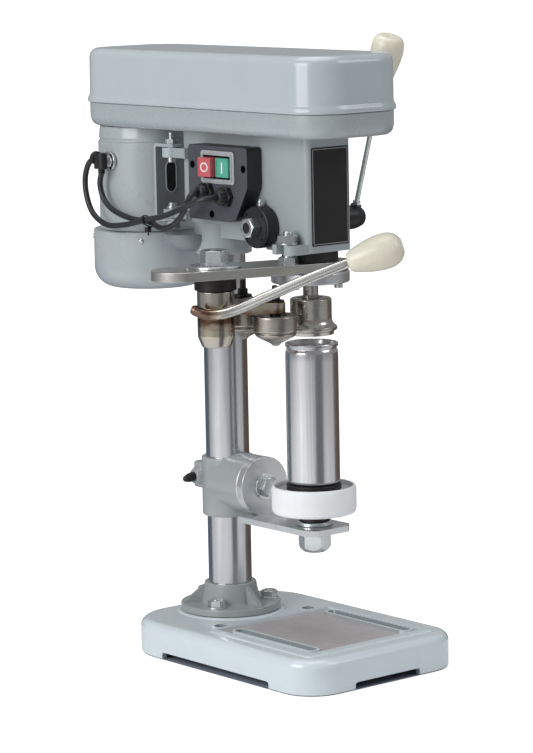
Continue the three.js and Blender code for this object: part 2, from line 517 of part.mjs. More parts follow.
// ---------------------------------------------------------------- seaming lever and rollers
const rollerAt = (degrees) => {
  const [dx, dy] = polar(YOKE.reach, degrees);
  return [PIVOT.x + dx, PIVOT.y + dy];
};
{
  const { x, y, r, boltR } = PIVOT;
  add('pivot_bolt', hexZ(24, PLATE.z1 + 2.4, 403.5, x, y, 0.25)
    .add(cylZ(boltR, 350, 390, x, y, 24))
    .add(cylZ(24.5, PLATE.z1 + GAP, PLATE.z1 + 2.5, x, y, 22)), zinc);
  add('hub_collar', cylZ(19.6, 366, PLATE.z0 - GAP, x, y)
    .subtract(cylZ(boltR + GAP, 300, 420, x, y, 24)), blackSteel);
  let hub = turned([[0, 312.8], [13, 312.8], [13.8, 314], [r, 322], [r, 366 - GAP], [0, 366 - GAP]], x, y);
  const centre = new THREE.Vector2(x, y);
  for (const angle of [YOKE.angle1, YOKE.angle2]) {
    const [rx, ry] = rollerAt(angle);
    hub = hub.add(prism(barShape(centre, new THREE.Vector2(rx, ry), 9.5), YOKE.z0, YOKE.z1, 8))
      .subtract(cylZ(ROLLER.axleR + GAP, 330, 360, rx, ry, 20));
  }
  hub = hub.subtract(cylZ(boltR + GAP, 350 - GAP, 420, x, y, 24));
  // the rod is welded across the front of the hub, so the hub is notched to its outline
  const rodR = 5;
  const lever = [[-123, -109, 350], [-117, -117, 346.5], [-107, -124, 346], [-95, -131.5, 349],
    [-69, -153, 362.5], [-48, -170.5, 374], [-14.5, -198.5, 391]];
  add('lever_hub', hub.subtract(rod(lever, rodR + GAP, 18, 10)), darkSteel);
  add('lever_rod', rod(lever, rodR, 18, 10), steel);
  const start = lever[lever.length - 1];
  const direction = new THREE.Vector3(39.7, -33, 15.5);
  const grip = [[0, 0.8], [8.5, 0.8], [11, 6], [15, 19.5], [16.9, 32], [16.4, 42], [13.2, 49], [7, 53.3],
    [0, 54]];
  add('lever_handle', turnedAlong(grip, start, direction), ivory);
}
[YOKE.angle1, YOKE.angle2].forEach((angle, i) => {
  const [x, y] = rollerAt(angle);
  const { r, axleR, tip, dish, groove, top } = ROLLER;
  const axle = cylZ(axleR, groove + 1, YOKE.z1 + 1, x, y, 20)
    .add(hexZ(8.5, YOKE.z1 + GAP, 361, x, y))
    .add(cylZ(2.8, 360, 369, x, y, 12));
  add(`roller_axle_${i + 1}`, axle, blackSteel);
  const roller = turned([[0, tip], [3.6, tip], [4.6, dish - 1.5], [17.5, groove - 4], [19.6, groove - 1.6],
    [18.6, groove - 0.8], [18.6, groove], [r, groove + 1.2], [r, top - 1], [r - 1, top], [0, top]], x, y, 24)
    .subtract(cylZ(axleR + 0.2, groove + 1 - GAP, 400, x, y, 20))
    .subtract(cylZ(15, top - 2, 400, x, y, 28));
  add(`seaming_roller_${i + 1}`, roller, steel);
});

// ---------------------------------------------------------------- table bracket and arm
{
  const z = BRACKET.axisZ;
  let bracket = cylZ(BRACKET.r, BRACKET.z0, BRACKET.z1, 0, 0, 26)
    .add(cylY(BRACKET.bossR, BRACKET.face, 0, 0, z, 26))
    .add(box(-11, 11, 18, 42, z - 12, z + 14))
    .add(cylX(10.5, -17, -10.9, CLAMP.y, z, 20, 6.5));
  bracket = bracket.subtract(cylZ(COLUMN.r + 0.1, 100, 220, 0, 0, 26))
    .subtract(box(-1.5, 1.5, 15, 50, 100, 220))
    .subtract(cylX(CLAMP.r + GAP, -20, 20, CLAMP.y, z, 16))
    .subtract(cylY(STEM.tilt + GAP, -60, -30, 0, z, 20));
  add('table_bracket', bracket, castPaint);
  const screw = cylX(CLAMP.r, -18, 16, CLAMP.y, z, 16)
    .add(taperedRod([-18, CLAMP.y, z], [-30, CLAMP.y, z - 1.5], 4.6));
  add('table_clamp_handle', screw, blackPlastic);
  const disc = cylY(ARM.discR, ARM.face, BRACKET.face - GAP, 0, z, 26);
  const { halfX, face } = ARM;
  const plan = outlineOf([[-halfX, face + 8], [-halfX, ARM.front + 8], [-halfX + 8, ARM.front],
    [halfX - 9, ARM.front], [halfX, ARM.front + 9], [halfX, face + 8]]);
  const front = prism(plan, ARM.z0, ARM.z1, 3);
  const arm = disc.add(front.subtract(box(-40, 40, BRACKET.face - GAP, 0, 100, 200)))
    .subtract(cylY(STEM.tilt + GAP, -70, -30, 0, z, 20))
    .subtract(cylZ(STEM.platform + GAP, 120, 140, 0, -THROAT, 20));
  add('table_arm', arm, aluminium);
  const head = new THREE.CylinderGeometry(10.4, 10.4, 7, 6);
  head.translate(0, -62.1, z);
  add('arm_pivot_bolt', solid(head)
    .add(cylY(13, -58.6, face - GAP, 0, z, 28))
    .add(cylY(STEM.tilt, -60, -34, 0, z, 20)), zinc);
}

// ---------------------------------------------------------------- spinning platform and can
{
  const y = -THROAT;
  const head = turned([[0, 109.5], [11, 109.5], [14, 112], [15.6, 116], [15.6, 130], [0, 130]], 0, y)
    .intersect(hexZ(27.2, 100, ARM.z0 - GAP, 0, y, 0.2));
  add('platform_bolt', head.add(cylZ(STEM.platform, 120, 165, 0, y, 24))
    .add(cylZ(17, ARM.z1 + GAP, 139.4, 0, y, 28)), zinc);
  add('platform_bearing', cylZ(14.6, 139.7, CUP.z0 - GAP, 0, y, 28)
    .subtract(cylZ(STEM.platform + 0.25, 100, 200, 0, y, 24)), blackSteel);
  const cup = turned([[0, CUP.z0], [CUP.r - 3, CUP.z0], [CUP.r - 0.8, CUP.z0 + 1.2], [CUP.r, CUP.z0 + 4],
    [CUP.r, CUP.z1 - 2.5], [CUP.r - 1, CUP.z1 - 0.4], [CUP.r - 2, CUP.z1], [0, CUP.z1]], 0, y, 22)
    .subtract(cylZ(CUP.recessR, CUP.floor, 200, 0, y, 26))
    .subtract(cylZ(STEM.platform + 0.25, 100, 165 + GAP, 0, y, 24));
  add('platform_cup', cup, whitePlastic);
  add('rubber_pad', cylZ(27, CUP.floor + GAP, CAN.z0 - GAP, 0, y, 24), rubber);
  const { r, z0, top } = CAN;
  const outer = [[0, z0 + 4], [18, z0 + 4], [20.5, z0], [22, z0], [r, z0 + 5], [r, top - 12],
    [r - 1.4, top - 7], [r - 1.4, top - 4.5], [r + 0.1, top - 3.5], [r + 0.1, top - 0.4], [r - 0.5, top], [r - 1.6, top],
    [r - 2.6, top - 5.6], [0, top - 5.6]];
  add('slim_can', turned(outer, 0, y, 26), aluminium);
}

// ---------------------------------------------------------------- origin: middle of the box, on the floor
{
  const bounds = new THREE.Box3().setFromObject(machine);
  const centre = bounds.getCenter(new THREE.Vector3());
  machine.position.set(-centre.x, -centre.y, -bounds.min.z);
  machine.updateMatrixWorld(true);
}

export default machine;
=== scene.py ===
import math

import bpy
import bmesh
from mathutils import Matrix, Vector


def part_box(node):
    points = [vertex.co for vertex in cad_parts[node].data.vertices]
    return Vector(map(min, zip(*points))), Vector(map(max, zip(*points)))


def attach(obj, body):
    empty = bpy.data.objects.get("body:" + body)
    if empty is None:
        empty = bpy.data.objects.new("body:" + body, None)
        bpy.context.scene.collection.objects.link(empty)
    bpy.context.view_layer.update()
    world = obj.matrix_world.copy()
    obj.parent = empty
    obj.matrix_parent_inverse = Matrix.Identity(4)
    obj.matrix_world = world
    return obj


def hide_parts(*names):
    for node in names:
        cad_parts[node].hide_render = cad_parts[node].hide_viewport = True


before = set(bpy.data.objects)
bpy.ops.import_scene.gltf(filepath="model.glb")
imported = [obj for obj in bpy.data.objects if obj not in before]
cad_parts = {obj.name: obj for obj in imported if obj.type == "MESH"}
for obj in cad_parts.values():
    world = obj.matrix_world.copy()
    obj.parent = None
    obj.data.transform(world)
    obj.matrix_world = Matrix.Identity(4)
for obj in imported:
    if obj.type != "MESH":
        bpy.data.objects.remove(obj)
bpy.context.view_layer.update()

# Everything below is built in millimetres about the column's axis, with the operator at -Y,
# and each finished piece is then set in the frame's metres.
MM = 0.001
column_low, column_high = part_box("column")
ORIGIN = Vector(((column_low.x + column_high.x) / 2, (column_low.y + column_high.y) / 2, 0))
SETTLE = Matrix.Translation(ORIGIN) @ Matrix.Scale(MM, 4)

THROAT = 129.0            # column axis to spindle axis
SPINDLE = (0.0, -THROAT)
MOTOR = (0.0, 113.0)
PIVOT = (-94.0, -104.0)   # seaming lever's hub
LUG = (-30.0, 40.0)       # motor bracket's two bolts
STUD = (-37.5, -142.0)    # stud that hangs the seaming plate


def placed(name, data):
    obj = bpy.data.objects.new(name, data)
    bpy.context.scene.collection.objects.link(obj)
    return obj


# ---------------------------------------------------------------- camera
CAMERA_AT = (-1884.47, -2345.28, 721.79)
CAMERA_TURN = (39.53, 8.68, -1.11)     # heading from +Y, pitch down and roll, in degrees
LENS = 149.58


def make_camera():
    heading, pitch, roll = [math.radians(angle) for angle in CAMERA_TURN]
    ahead = Vector((math.sin(heading), math.cos(heading), 0))
    right = Vector((math.cos(heading), -math.sin(heading), 0))
    up = Vector((0, 0, 1))
    look = ahead * math.cos(pitch) - up * math.sin(pitch)
    lift = up * math.cos(pitch) + ahead * math.sin(pitch)
    side = right * math.cos(roll) + lift * math.sin(roll)
    top = -right * math.sin(roll) + lift * math.cos(roll)
    data = bpy.data.cameras.new("camera")
    data.sensor_width = 36
    data.lens = LENS
    data.clip_end = 100
    cam = placed("camera", data)
    place = Matrix((side, top, -look)).transposed().to_4x4()
    place.translation = ORIGIN + Vector(CAMERA_AT) * MM
    cam.matrix_world = place
    bpy.context.scene.camera = cam


make_camera()


# ---------------------------------------------------------------- materials
class Nodes:
    """A small helper to lay out one node material on the object's own coordinates."""

    def __init__(self, name):
        self.material = bpy.data.materials.new(name)
        self.material.use_nodes = True
        self.tree = self.material.node_tree
        self.shader = self.tree.nodes["Principled BSDF"]
        self.where = self.tree.nodes.new("ShaderNodeTexCoord")

    def new(self, kind, **values):
        node = self.tree.nodes.new(kind)
        for key, value in values.items():
            if isinstance(value, bpy.types.NodeSocket):
                self.tree.links.new(value, node.inputs[key])
            elif key in node.inputs:
                node.inputs[key].default_value = value
            else:
                setattr(node, key, value)
        return node

    def mapped(self, scale):
        node = self.new("ShaderNodeMapping")
        node.inputs["Scale"].default_value = scale
        self.tree.links.new(self.where.outputs["Object"], node.inputs["Vector"])
        return node.outputs["Vector"]

    def noise(self, scale, detail=4.0, rough=0.55):
        node = self.new("ShaderNodeTexNoise", Scale=1.0, Detail=detail, Roughness=rough)
        self.tree.links.new(self.mapped(scale), node.inputs["Vector"])
        return node.outputs["Fac"]

    def ramp(self, factor, stops):
        node = self.new("ShaderNodeValToRGB", Fac=factor)
        elements = node.color_ramp.elements
        while len(elements) < len(stops):
            elements.new(0.5)
        for element, (at, colour) in zip(elements, stops):
            element.position = at
            element.color = (*colour, 1)
        return node.outputs["Color"]

    def span(self, factor, low, high, start=0.3, end=0.7):
        node = self.new("ShaderNodeMapRange")
        self.tree.links.new(factor, node.inputs["Value"])
        for key, value in (("From Min", start), ("From Max", end), ("To Min", low), ("To Max", high)):
            node.inputs[key].default_value = value
        return node.outputs["Result"]

    def blend(self, factor, first, second):
        node = self.new("ShaderNodeMix")
        node.data_type = "RGBA"
        self.tree.links.new(factor, node.inputs["Factor"])
        for key, value in ((6, first), (7, second)):
            if isinstance(value, bpy.types.NodeSocket):
                self.tree.links.new(value, node.inputs[key])
            else:
                node.inputs[key].default_value = (*value, 1)
        return node.outputs[2]

    def bump(self, height, strength, distance, below=None):
        node = self.new("ShaderNodeBump", Strength=strength, Distance=distance, Height=height)
        if below is not None:
            self.tree.links.new(below, node.inputs["Normal"])
        return node.outputs["Normal"]

    def set(self, **values):
        names = {"color": "Base Color", "rough": "Roughness", "metal": "Metallic", "normal": "Normal",
                 "coat": "Coat Weight", "coat_rough": "Coat Roughness", "spec": "Specular IOR Level",
                 "aniso": "Anisotropic", "through": "Transmission Weight", "ior": "IOR",
                 "glow": "Emission Strength", "sub": "Subsurface Weight", "sub_scale": "Subsurface Scale"}
        for key, value in values.items():
            socket = self.shader.inputs[names[key]]
            if isinstance(value, bpy.types.NodeSocket):
                self.tree.links.new(value, socket)
            elif isinstance(value, tuple):
                socket.default_value = (*value, 1)
            else:
                socket.default_value = value
        return self.material


def shade(colour, factor):
    return tuple(min(1.0, c * factor) for c in colour)


def paint(name, colour, rough, cast, dust=0.5):
    """Gloss paint: faint flow marks in the film, lumps of the casting under it, a little grime."""
    n = Nodes(name)
    cloud = n.noise((22, 22, 30), 3)
    speck = n.noise((900, 900, 900), 5, 0.7)
    base = n.blend(n.span(cloud, 0, 1), shade(colour, 0.985), shade(colour, 1.012))
    tone = n.blend(n.span(speck, 0, dust, 0.64, 0.84), base, shade(colour, 0.88))
    peel = n.bump(n.noise((520, 520, 520), 2), 0.03, 0.0004)
    film = n.bump(n.noise((70, 70, 70), 3), cast, 0.002, peel)
    return n.set(color=tone, rough=n.span(n.noise((45, 45, 45), 4), rough - 0.015, rough + 0.02), normal=film,
                 coat=0.5, coat_rough=0.09, spec=0.5)


def turned_metal(name, colour, dark, rough, lines, stain=0.25, aniso=0.35, bump=0.03, metal=1.0):
    """Bare metal with tool lines; `lines` is the noise scale along x, y and z."""
    n = Nodes(name)
    tool = n.noise(lines, 3, 0.6)
    cloud = n.noise((28, 28, 28), 4, 0.6)
    base = n.blend(n.span(tool, 0, 1), colour, shade(colour, 0.86))
    tone = n.blend(n.span(cloud, 0, stain, 0.45, 0.75), base, dark)
    fine = n.bump(tool, bump, 0.0002)
    return n.set(color=tone, metal=metal, rough=n.span(tool, rough - 0.03, rough + 0.05), normal=fine,
                 aniso=aniso)


def moulded(name, colour, rough, grain=1400, bump=0.12, coat=0.0, sub=0.0, mottle=0.09):
    """Moulded plastic or rubber with a fine spark-eroded grain and handling marks."""
    n = Nodes(name)
    fine = n.noise((grain, grain, grain), 3, 0.6)
    cloud = n.noise((55, 55, 55), 4)
    tone = n.blend(n.span(cloud, 0, 1), shade(colour, 1 - mottle), shade(colour, 1 + mottle))
    return n.set(color=tone, rough=n.span(cloud, rough - 0.06, rough + 0.08),
                 normal=n.bump(fine, bump, 0.0003), coat=coat, coat_rough=0.1, sub=sub, sub_scale=0.004)


ALONG_Z = (40, 40, 700)     # rings round an upright turned piece
BASE_PAINT = paint("base_paint", (0.68, 0.765, 0.815), 0.19, 0.008, 0.12)
HEAD_PAINT = paint("head_paint", (0.360, 0.405, 0.420), 0.30, 0.04, 0.25)
COVER_PAINT = paint("cover_paint", (0.455, 0.515, 0.550), 0.25, 0.006, 0.15)
# painted shade: a darker copy of the cover paint, for the belt cover's pan under the lid's lip and for the
# base's hollows and slot walls
SHADED_MID_PAINT = paint("shaded_mid_paint", (0.375, 0.420, 0.440), 0.27, 0.006, 0.15)
MOTOR_PAINT = paint("motor_paint", (0.410, 0.455, 0.475), 0.28, 0.01, 0.2)
SHADED_PAINT = paint("shaded_paint", (0.21, 0.23, 0.25), 0.40, 0.05)
CAST_PAINT = paint("bracket_paint", (0.350, 0.382, 0.382), 0.30, 0.12)
COLUMN_STEEL = turned_metal("column_steel", (0.65, 0.66, 0.69), (0.50, 0.49, 0.51), 0.22, (220, 220, 6),
                            0.3, 0.0, 0.004)
BRIGHT_STEEL = turned_metal("bright_steel", (0.78, 0.78, 0.77), (0.52, 0.50, 0.47), 0.20, (900, 900, 900),
                            0.3, 0.2)
TURNED_STEEL = turned_metal("turned_steel", (0.50, 0.465, 0.42), (0.28, 0.22, 0.17), 0.27, ALONG_Z, 0.4,
                            0.0, 0.004)
CHUCK_STEEL = turned_metal("chuck_steel", (0.60, 0.58, 0.54), (0.38, 0.34, 0.30), 0.25, ALONG_Z, 0.3, 0.0,
                           0.004)
PLATE_STEEL = turned_metal("plate_steel", (0.64, 0.63, 0.61), (0.45, 0.43, 0.41), 0.33, (60, 1500, 1500),
                           0.35)
ZINC = turned_metal("zinc", (0.80, 0.84, 0.85), (0.62, 0.65, 0.64), 0.25, (90, 90, 90), 0.25, 0.0, 0.01)
ALUMINIUM = turned_metal("machined_aluminium", (0.78, 0.80, 0.82), (0.62, 0.63, 0.66), 0.34,
                         (1300, 80, 1300), 0.3)
CAN_METAL = turned_metal("can_metal", (0.76, 0.76, 0.78), (0.64, 0.63, 0.65), 0.22, (500, 500, 8), 0.3,
                         0.0, 0.006)
BARE_FLOOR = turned_metal("milled_iron", (0.60, 0.575, 0.59), (0.47, 0.42, 0.42), 0.42, (700, 60, 700),
                          0.5, 0.2, 0.04, 0.35)
BLACK_STEEL = turned_metal("black_oxide", (0.055, 0.052, 0.05), (0.10, 0.08, 0.065), 0.36, ALONG_Z, 0.4)
BLACK_PLASTIC = moulded("black_plastic", (0.012, 0.013, 0.016), 0.42)
SWITCH_FACE = moulded("switch_face", (0.062, 0.067, 0.082), 0.5, 1100, 0.2)
RUBBER = moulded("black_rubber", (0.010, 0.010, 0.011), 0.5, 900, 0.15)
LEAD_JACKET = moulded("lead_jacket", (0.020, 0.022, 0.026), 0.36, 700, 0.1)
WHITE_PLASTIC = moulded("white_plastic", (0.90, 0.925, 0.95), 0.42, 700, 0.04, 0.05, 0.08, 0.02)
CUP_FLOOR = moulded("cup_floor", (0.50, 0.51, 0.54), 0.5, 500, 0.1)
RED_PLASTIC = moulded("red_plastic", (0.56, 0.115, 0.135), 0.4, mottle=0.04)
GREEN_PLASTIC = moulded("green_plastic", (0.085, 0.40, 0.29), 0.4, mottle=0.04)
SYMBOL = moulded("symbol_white", (0.86, 0.84, 0.82), 0.5)
LABEL = moulded("label_film", (0.008, 0.0075, 0.0075), 0.5, 300, 0.04)
LABEL_PALE = moulded("label_pale", (0.45, 0.45, 0.45), 0.5, 300, 0.04)
BELT = moulded("belt_rubber", (0.02, 0.02, 0.02), 0.62, 500, 0.3)


def ivory():
    n = Nodes("ivory_plastic")
    cloud = n.noise((38, 38, 38), 5, 0.6)
    base = n.blend(n.span(cloud, 0, 1), (0.80, 0.78, 0.67), (0.74, 0.70, 0.56))
    speck = n.noise((600, 600, 600), 4, 0.7)
    tone = n.blend(n.span(speck, 0, 0.4, 0.66, 0.85), base, (0.55, 0.48, 0.34))
    return n.set(color=tone, rough=n.span(cloud, 0.26, 0.38),
                 normal=n.bump(n.noise((120, 120, 120), 4), 0.12, 0.0008), coat=0.25, coat_rough=0.15,
                 sub=0.12, sub_scale=0.006)


def tinted_rod():
    """Bright rod with the straw and blue-brown heat colours left by welding round the hub."""
    n = Nodes("tinted_rod")
    tool = n.noise((1200, 1200, 1200), 3)
    split = n.new("ShaderNodeSeparateXYZ")
    n.tree.links.new(n.where.outputs["Object"], split.inputs[0])
    near = n.span(split.outputs["X"], 1, 0, ORIGIN.x - 0.121, ORIGIN.x - 0.101)
    wobble = n.new("ShaderNodeMath", operation="MULTIPLY_ADD")
    n.tree.links.new(n.noise((150, 150, 150), 4), wobble.inputs[0])
    wobble.inputs[1].default_value = 0.35
    n.tree.links.new(near, wobble.inputs[2])
    tone = n.ramp(wobble.outputs["Value"], [(0.18, (0.85, 0.84, 0.81)), (0.55, (0.78, 0.72, 0.62)),
                                            (0.78, (0.50, 0.37, 0.25)), (1.0, (0.20, 0.13, 0.10))])
    return n.set(color=tone, metal=1.0, rough=n.span(tool, 0.24, 0.32), normal=n.bump(tool, 0.02, 0.0002),
                 aniso=0.2)


def scorched_hub():
    """Turned hub with brown heat bands where the rod is welded on."""
    n = Nodes("scorched_hub")
    tool = n.noise(ALONG_Z, 3, 0.6)
    split = n.new("ShaderNodeSeparateXYZ")
    n.tree.links.new(n.where.outputs["Object"], split.inputs[0])
    wave = n.new("ShaderNodeMath", operation="MULTIPLY_ADD")
    n.tree.links.new(n.noise((60, 60, 140), 4), wave.inputs[0])
    wave.inputs[1].default_value = 0.016
    n.tree.links.new(split.outputs["Z"], wave.inputs[2])
    band = n.span(wave.outputs["Value"], 0, 1, 0.322, 0.372)
    tone = n.ramp(band, [(0.0, (0.56, 0.53, 0.48)), (0.34, (0.54, 0.47, 0.37)), (0.46, (0.15, 0.08, 0.05)),
                         (0.58, (0.22, 0.13, 0.08)), (0.72, (0.50, 0.44, 0.36)), (0.9, (0.52, 0.49, 0.44))])
    return n.set(color=tone, metal=1.0, rough=n.span(tool, 0.18, 0.24), normal=n.bump(tool, 0.02, 0.0002),
                 aniso=0.2)


def clear_film():
    n = Nodes("clear_cover")
    return n.set(color=(0.86, 0.89, 0.91), rough=n.span(n.noise((200, 200, 200), 3), 0.05, 0.14),
                 through=0.62, ior=1.45, normal=n.bump(n.noise((160, 160, 160), 3), 0.25, 0.0008))


IVORY = ivory()
TINTED_ROD = tinted_rod()
SCORCHED = scorched_hub()
CLEAR = clear_film()

# record slot of each material, where its name differs; the clear film has none
SLOTS = {"shaded_mid_paint": "cover_paint", "column_steel": "ground_steel", "bright_steel": "ground_steel",
         "chuck_steel": "turned_steel", "scorched_hub": "turned_steel", "plate_steel": "brushed_plate",
         "tinted_rod": "zinc", "machined_aluminium": "aluminium", "can_metal": "can_aluminium",
         "black_oxide": "black_steel", "lead_jacket": "black_rubber", "belt_rubber": "black_rubber",
         "symbol_white": "white_plastic", "label_film": "black_plastic", "label_pale": "white_plastic",
         "clear_cover": None}


# ---------------------------------------------------------------- outlines
def polar(r, degrees, x=0.0, y=0.0):
    return (x + r * math.cos(math.radians(degrees)), y + r * math.sin(math.radians(degrees)))


def hexagon(across, x=0.0, y=0.0, turn=0.0):
    return [polar(across / math.sqrt(3), 60 * i + turn, x, y) for i in range(6)]


def rounded_rect(x0, x1, y0, y1, r, r1=None, n=10):
    r1 = r if r1 is None else r1
    corners = [(x1 - r, y0 + r, r, -90), (x1 - r1, y1 - r1, r1, 0), (x0 + r1, y1 - r1, r1, 90),
               (x0 + r, y0 + r, r, 180)]
    return [polar(radius, start + 90 * i / n, x, y) for x, y, radius, start in corners for i in range(n + 1)]


def bar(a, b, r, n=16):
    along = math.degrees(math.atan2(b[1] - a[1], b[0] - a[0]))
    first = [polar(r, along - 90 + 180 * i / n, *b) for i in range(n + 1)]
    return first + [polar(r, along + 90 + 180 * i / n, *a) for i in range(n + 1)]


def soften(points, steps=4, closed=False):
    """Rounds the corners of a line of points; a third value in a point is its rounding."""
    flat = [Vector(point[:2]) for point in points]
    made = []
    for i, (p, point) in enumerate(zip(flat, points)):
        if len(point) < 3 or point[2] <= 0 or (not closed and i in (0, len(points) - 1)):
            made.append(tuple(p))
            continue
        before, after = flat[i - 1] - p, flat[(i + 1) % len(flat)] - p
        reach = min(point[2], before.length * 0.48, after.length * 0.48)
        a, b = p + before.normalized() * reach, p + after.normalized() * reach
        for k in range(steps + 1):
            t = k / steps
            made.append(tuple(a * (1 - t) ** 2 + p * (2 * t * (1 - t)) + b * t ** 2))
    return made


# ---------------------------------------------------------------- solids, in millimetres
def solid(verts, faces):
    mesh = bpy.data.meshes.new("solid")
    mesh.from_pydata([tuple(v) for v in verts], [], faces)
    built = bmesh.new()
    built.from_mesh(mesh)
    bmesh.ops.recalc_face_normals(built, faces=built.faces)
    built.to_mesh(mesh)
    built.free()
    return placed("solid", mesh)


def loft(rings):
    """Closed skin over rings of equal count; a ring of one point closes to a tip."""
    verts, index = [], []
    for ring in rings:
        index.append(list(range(len(verts), len(verts) + len(ring))))
        verts.extend(ring)
    faces = []
    for low, high in zip(index, index[1:]):
        n = max(len(low), len(high))
        for i in range(n):
            j = (i + 1) % n
            corners = [low[i % len(low)], low[j % len(low)], high[j % len(high)], high[i % len(high)]]
            face = list(dict.fromkeys(corners))
            if len(face) > 2:
                faces.append(face)
    for ring in (index[0], index[-1]):
        if len(ring) > 2:
            faces.append(list(ring))
    return solid(verts, faces)


def hoop(verts, rows):
    """Closed ring whose section has so many rows of points; each row runs once round the ring."""
    n = len(verts) // rows
    faces = []
    for k in range(rows):
        low, high = k * n, (k + 1) % rows * n
        faces += [(low + i, low + (i + 1) % n, high + (i + 1) % n, high + i) for i in range(n)]
    return solid(verts, faces)


def prism(outline, z0, z1):
    return loft([[(x, y, z) for x, y in outline] for z in (z0, z1)])


def stepped(outline, profile):
    """outline(inset) gives a ring of points; profile is [(inset, z), ...] from the bottom to the top."""
    return loft([[(x, y, z) for x, y in outline(inset)] for inset, z in profile])


def turned(profile, x=0.0, y=0.0, n=72):
    """profile is [(r, z), ...]; a radius of 0 closes to the axis."""
    rings = []
    for r, z in profile:
        rings.append([(x, y, z)] if r < 1e-6 else [(*polar(r, 360 * i / n, x, y), z) for i in range(n)])
    return loft(rings)


def spun(profile, x=0.0, y=0.0, n=72, steps=4):
    """turned(), with the corners rounded by the third value that a point may have."""
    return turned(soften(profile, steps), x, y, n)


def drum(r, z0, z1, x=0.0, y=0.0, edge=0.5, n=64, low_edge=None):
    low = edge if low_edge is None else low_edge
    return spun([(0, z0), (r, z0, low), (r, z1, edge), (0, z1)], x, y, n)


def along(obj, start, direction):
    """Lays a solid built up the Z axis along a direction from a start point."""
    turn = Vector(direction).to_track_quat("Z", "Y").to_matrix().to_4x4()
    obj.data.transform(Matrix.Translation(start) @ turn)
    return obj


TO_X, TO_LEFT, TO_FRONT = (1, 0, 0), (-1, 0, 0), (0, -1, 0)


def sheet_x(outline, x0, x1):
    """Prism whose outline is given in (y, z) and which runs from x0 to x1."""
    return loft([[(x, y, z) for y, z in outline] for x in (x0, x1)])


def tube(points, r, n=16, each=6, round_ends=False):
    """Round rod along a smooth curve through the points."""
    fixed = [Vector(p) for p in points]
    fixed = [fixed[0] * 2 - fixed[1]] + fixed + [fixed[-1] * 2 - fixed[-2]]
    line = []
    for i in range(1, len(fixed) - 2):
        a, b, c, d = fixed[i - 1:i + 3]
        t1 = (b - a).length ** 0.5
        t2 = t1 + (c - b).length ** 0.5
        t3 = t2 + (d - c).length ** 0.5
        for k in range(each):
            t = t1 + (t2 - t1) * k / each
            p1 = a + (b - a) * (t / t1)
            p2 = b + (c - b) * ((t - t1) / (t2 - t1))
            p3 = c + (d - c) * ((t - t2) / (t3 - t2))
            q1 = p1 + (p2 - p1) * (t / t2)
            q2 = p2 + (p3 - p2) * ((t - t1) / (t3 - t1))
            line.append(q1 + (q2 - q1) * ((t - t1) / (t2 - t1)))
    line.append(fixed[-2])
    rings, side = [], None
    for i, p in enumerate(line):
        ahead = (line[min(i + 1, len(line) - 1)] - line[max(i - 1, 0)]).normalized()
        side = ahead.orthogonal() if side is None else side - ahead * side.dot(ahead)
        side.normalize()
        other = ahead.cross(side)
        rings.append([p + (side * math.cos(2 * math.pi * k / n) + other * math.sin(2 * math.pi * k / n)) * r
                      for k in range(n)])
    if round_ends:
        for at, step in ((0, -1), (-1, 1)):
            centre = line[at]
            ahead = (line[at] - line[at - step]).normalized()
            cap = [centre + (v - centre) * 0.72 + ahead * r * 0.6 for v in rings[at]]
            rings = [cap] + rings if at == 0 else rings + [cap]
    return loft(rings)


def bake(obj):
    """Applies an object's modifiers to its mesh."""
    bpy.context.view_layer.update()
    made = bpy.data.meshes.new_from_object(obj.evaluated_get(bpy.context.evaluated_depsgraph_get()))
    obj.modifiers.clear()
    obj.data = made
    return obj


def combine(obj, tools, operation):
    for tool in tools:
        modifier = obj.modifiers.new("boolean", "BOOLEAN")
        modifier.operation = operation
        modifier.object = tool
        modifier.solver = "EXACT"
        bake(obj)
        bpy.data.objects.remove(tool)
    return obj


def cut(obj, *tools):
    return combine(obj, tools, "DIFFERENCE")


def fuse(obj, *tools):
    return combine(obj, tools, "UNION")


def join(obj, *others):
    """Puts solids that don't need a clean joint into one mesh."""
    built = bmesh.new()
    for each in (obj, *others):
        built.from_mesh(each.data)
    built.to_mesh(obj.data)
    built.free()
    for each in others:
        bpy.data.objects.remove(each)
    return obj


def bevel(obj, width, segments=2, angle=32):
    modifier = obj.modifiers.new("bevel", "BEVEL")
    modifier.width = width
    modifier.segments = segments
    modifier.limit_method = "ANGLE"
    modifier.angle_limit = math.radians(angle)
    modifier.use_clamp_overlap = True
    modifier.miter_outer = "MITER_ARC"
    return bake(obj)


def piece(name, obj, material, body="stand", slot=None, replaces=()):
    """Finishes a solid: set in the frame, smooth shaded, riding on its body."""
    obj.name = name
    obj.data.name = name
    obj.data.transform(SETTLE)
    obj.data.materials.clear()
    obj.data.materials.append(material)
    obj.data.polygons.foreach_set("use_smooth", [True] * len(obj.data.polygons))
    obj.data.set_sharp_from_angle(angle=math.radians(38))
    modifier = obj.modifiers.new("normals", "WEIGHTED_NORMAL")
    modifier.keep_sharp = True
    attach(obj, body)
    kind = material.name.split(".")[0]     # without the number that Blender adds to a name in use
    slot = slot or SLOTS.get(kind, kind)
    if replaces:
        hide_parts(*replaces)
    return obj


def stand_in(node, obj, material, body="stand", slot=None):
    """A finer copy of one CAD node."""
    return piece(node + "_fine", obj, material, body, slot, [node])


def paint_faces(obj, material, chosen):
    """Gives the faces that `chosen(centre, normal)` picks, in millimetres, a second material."""
    obj.data.materials.append(material)
    slot_index = len(obj.data.materials) - 1
    for face in obj.data.polygons:
        if chosen((face.center - ORIGIN) / MM, face.normal):
            face.material_index = slot_index


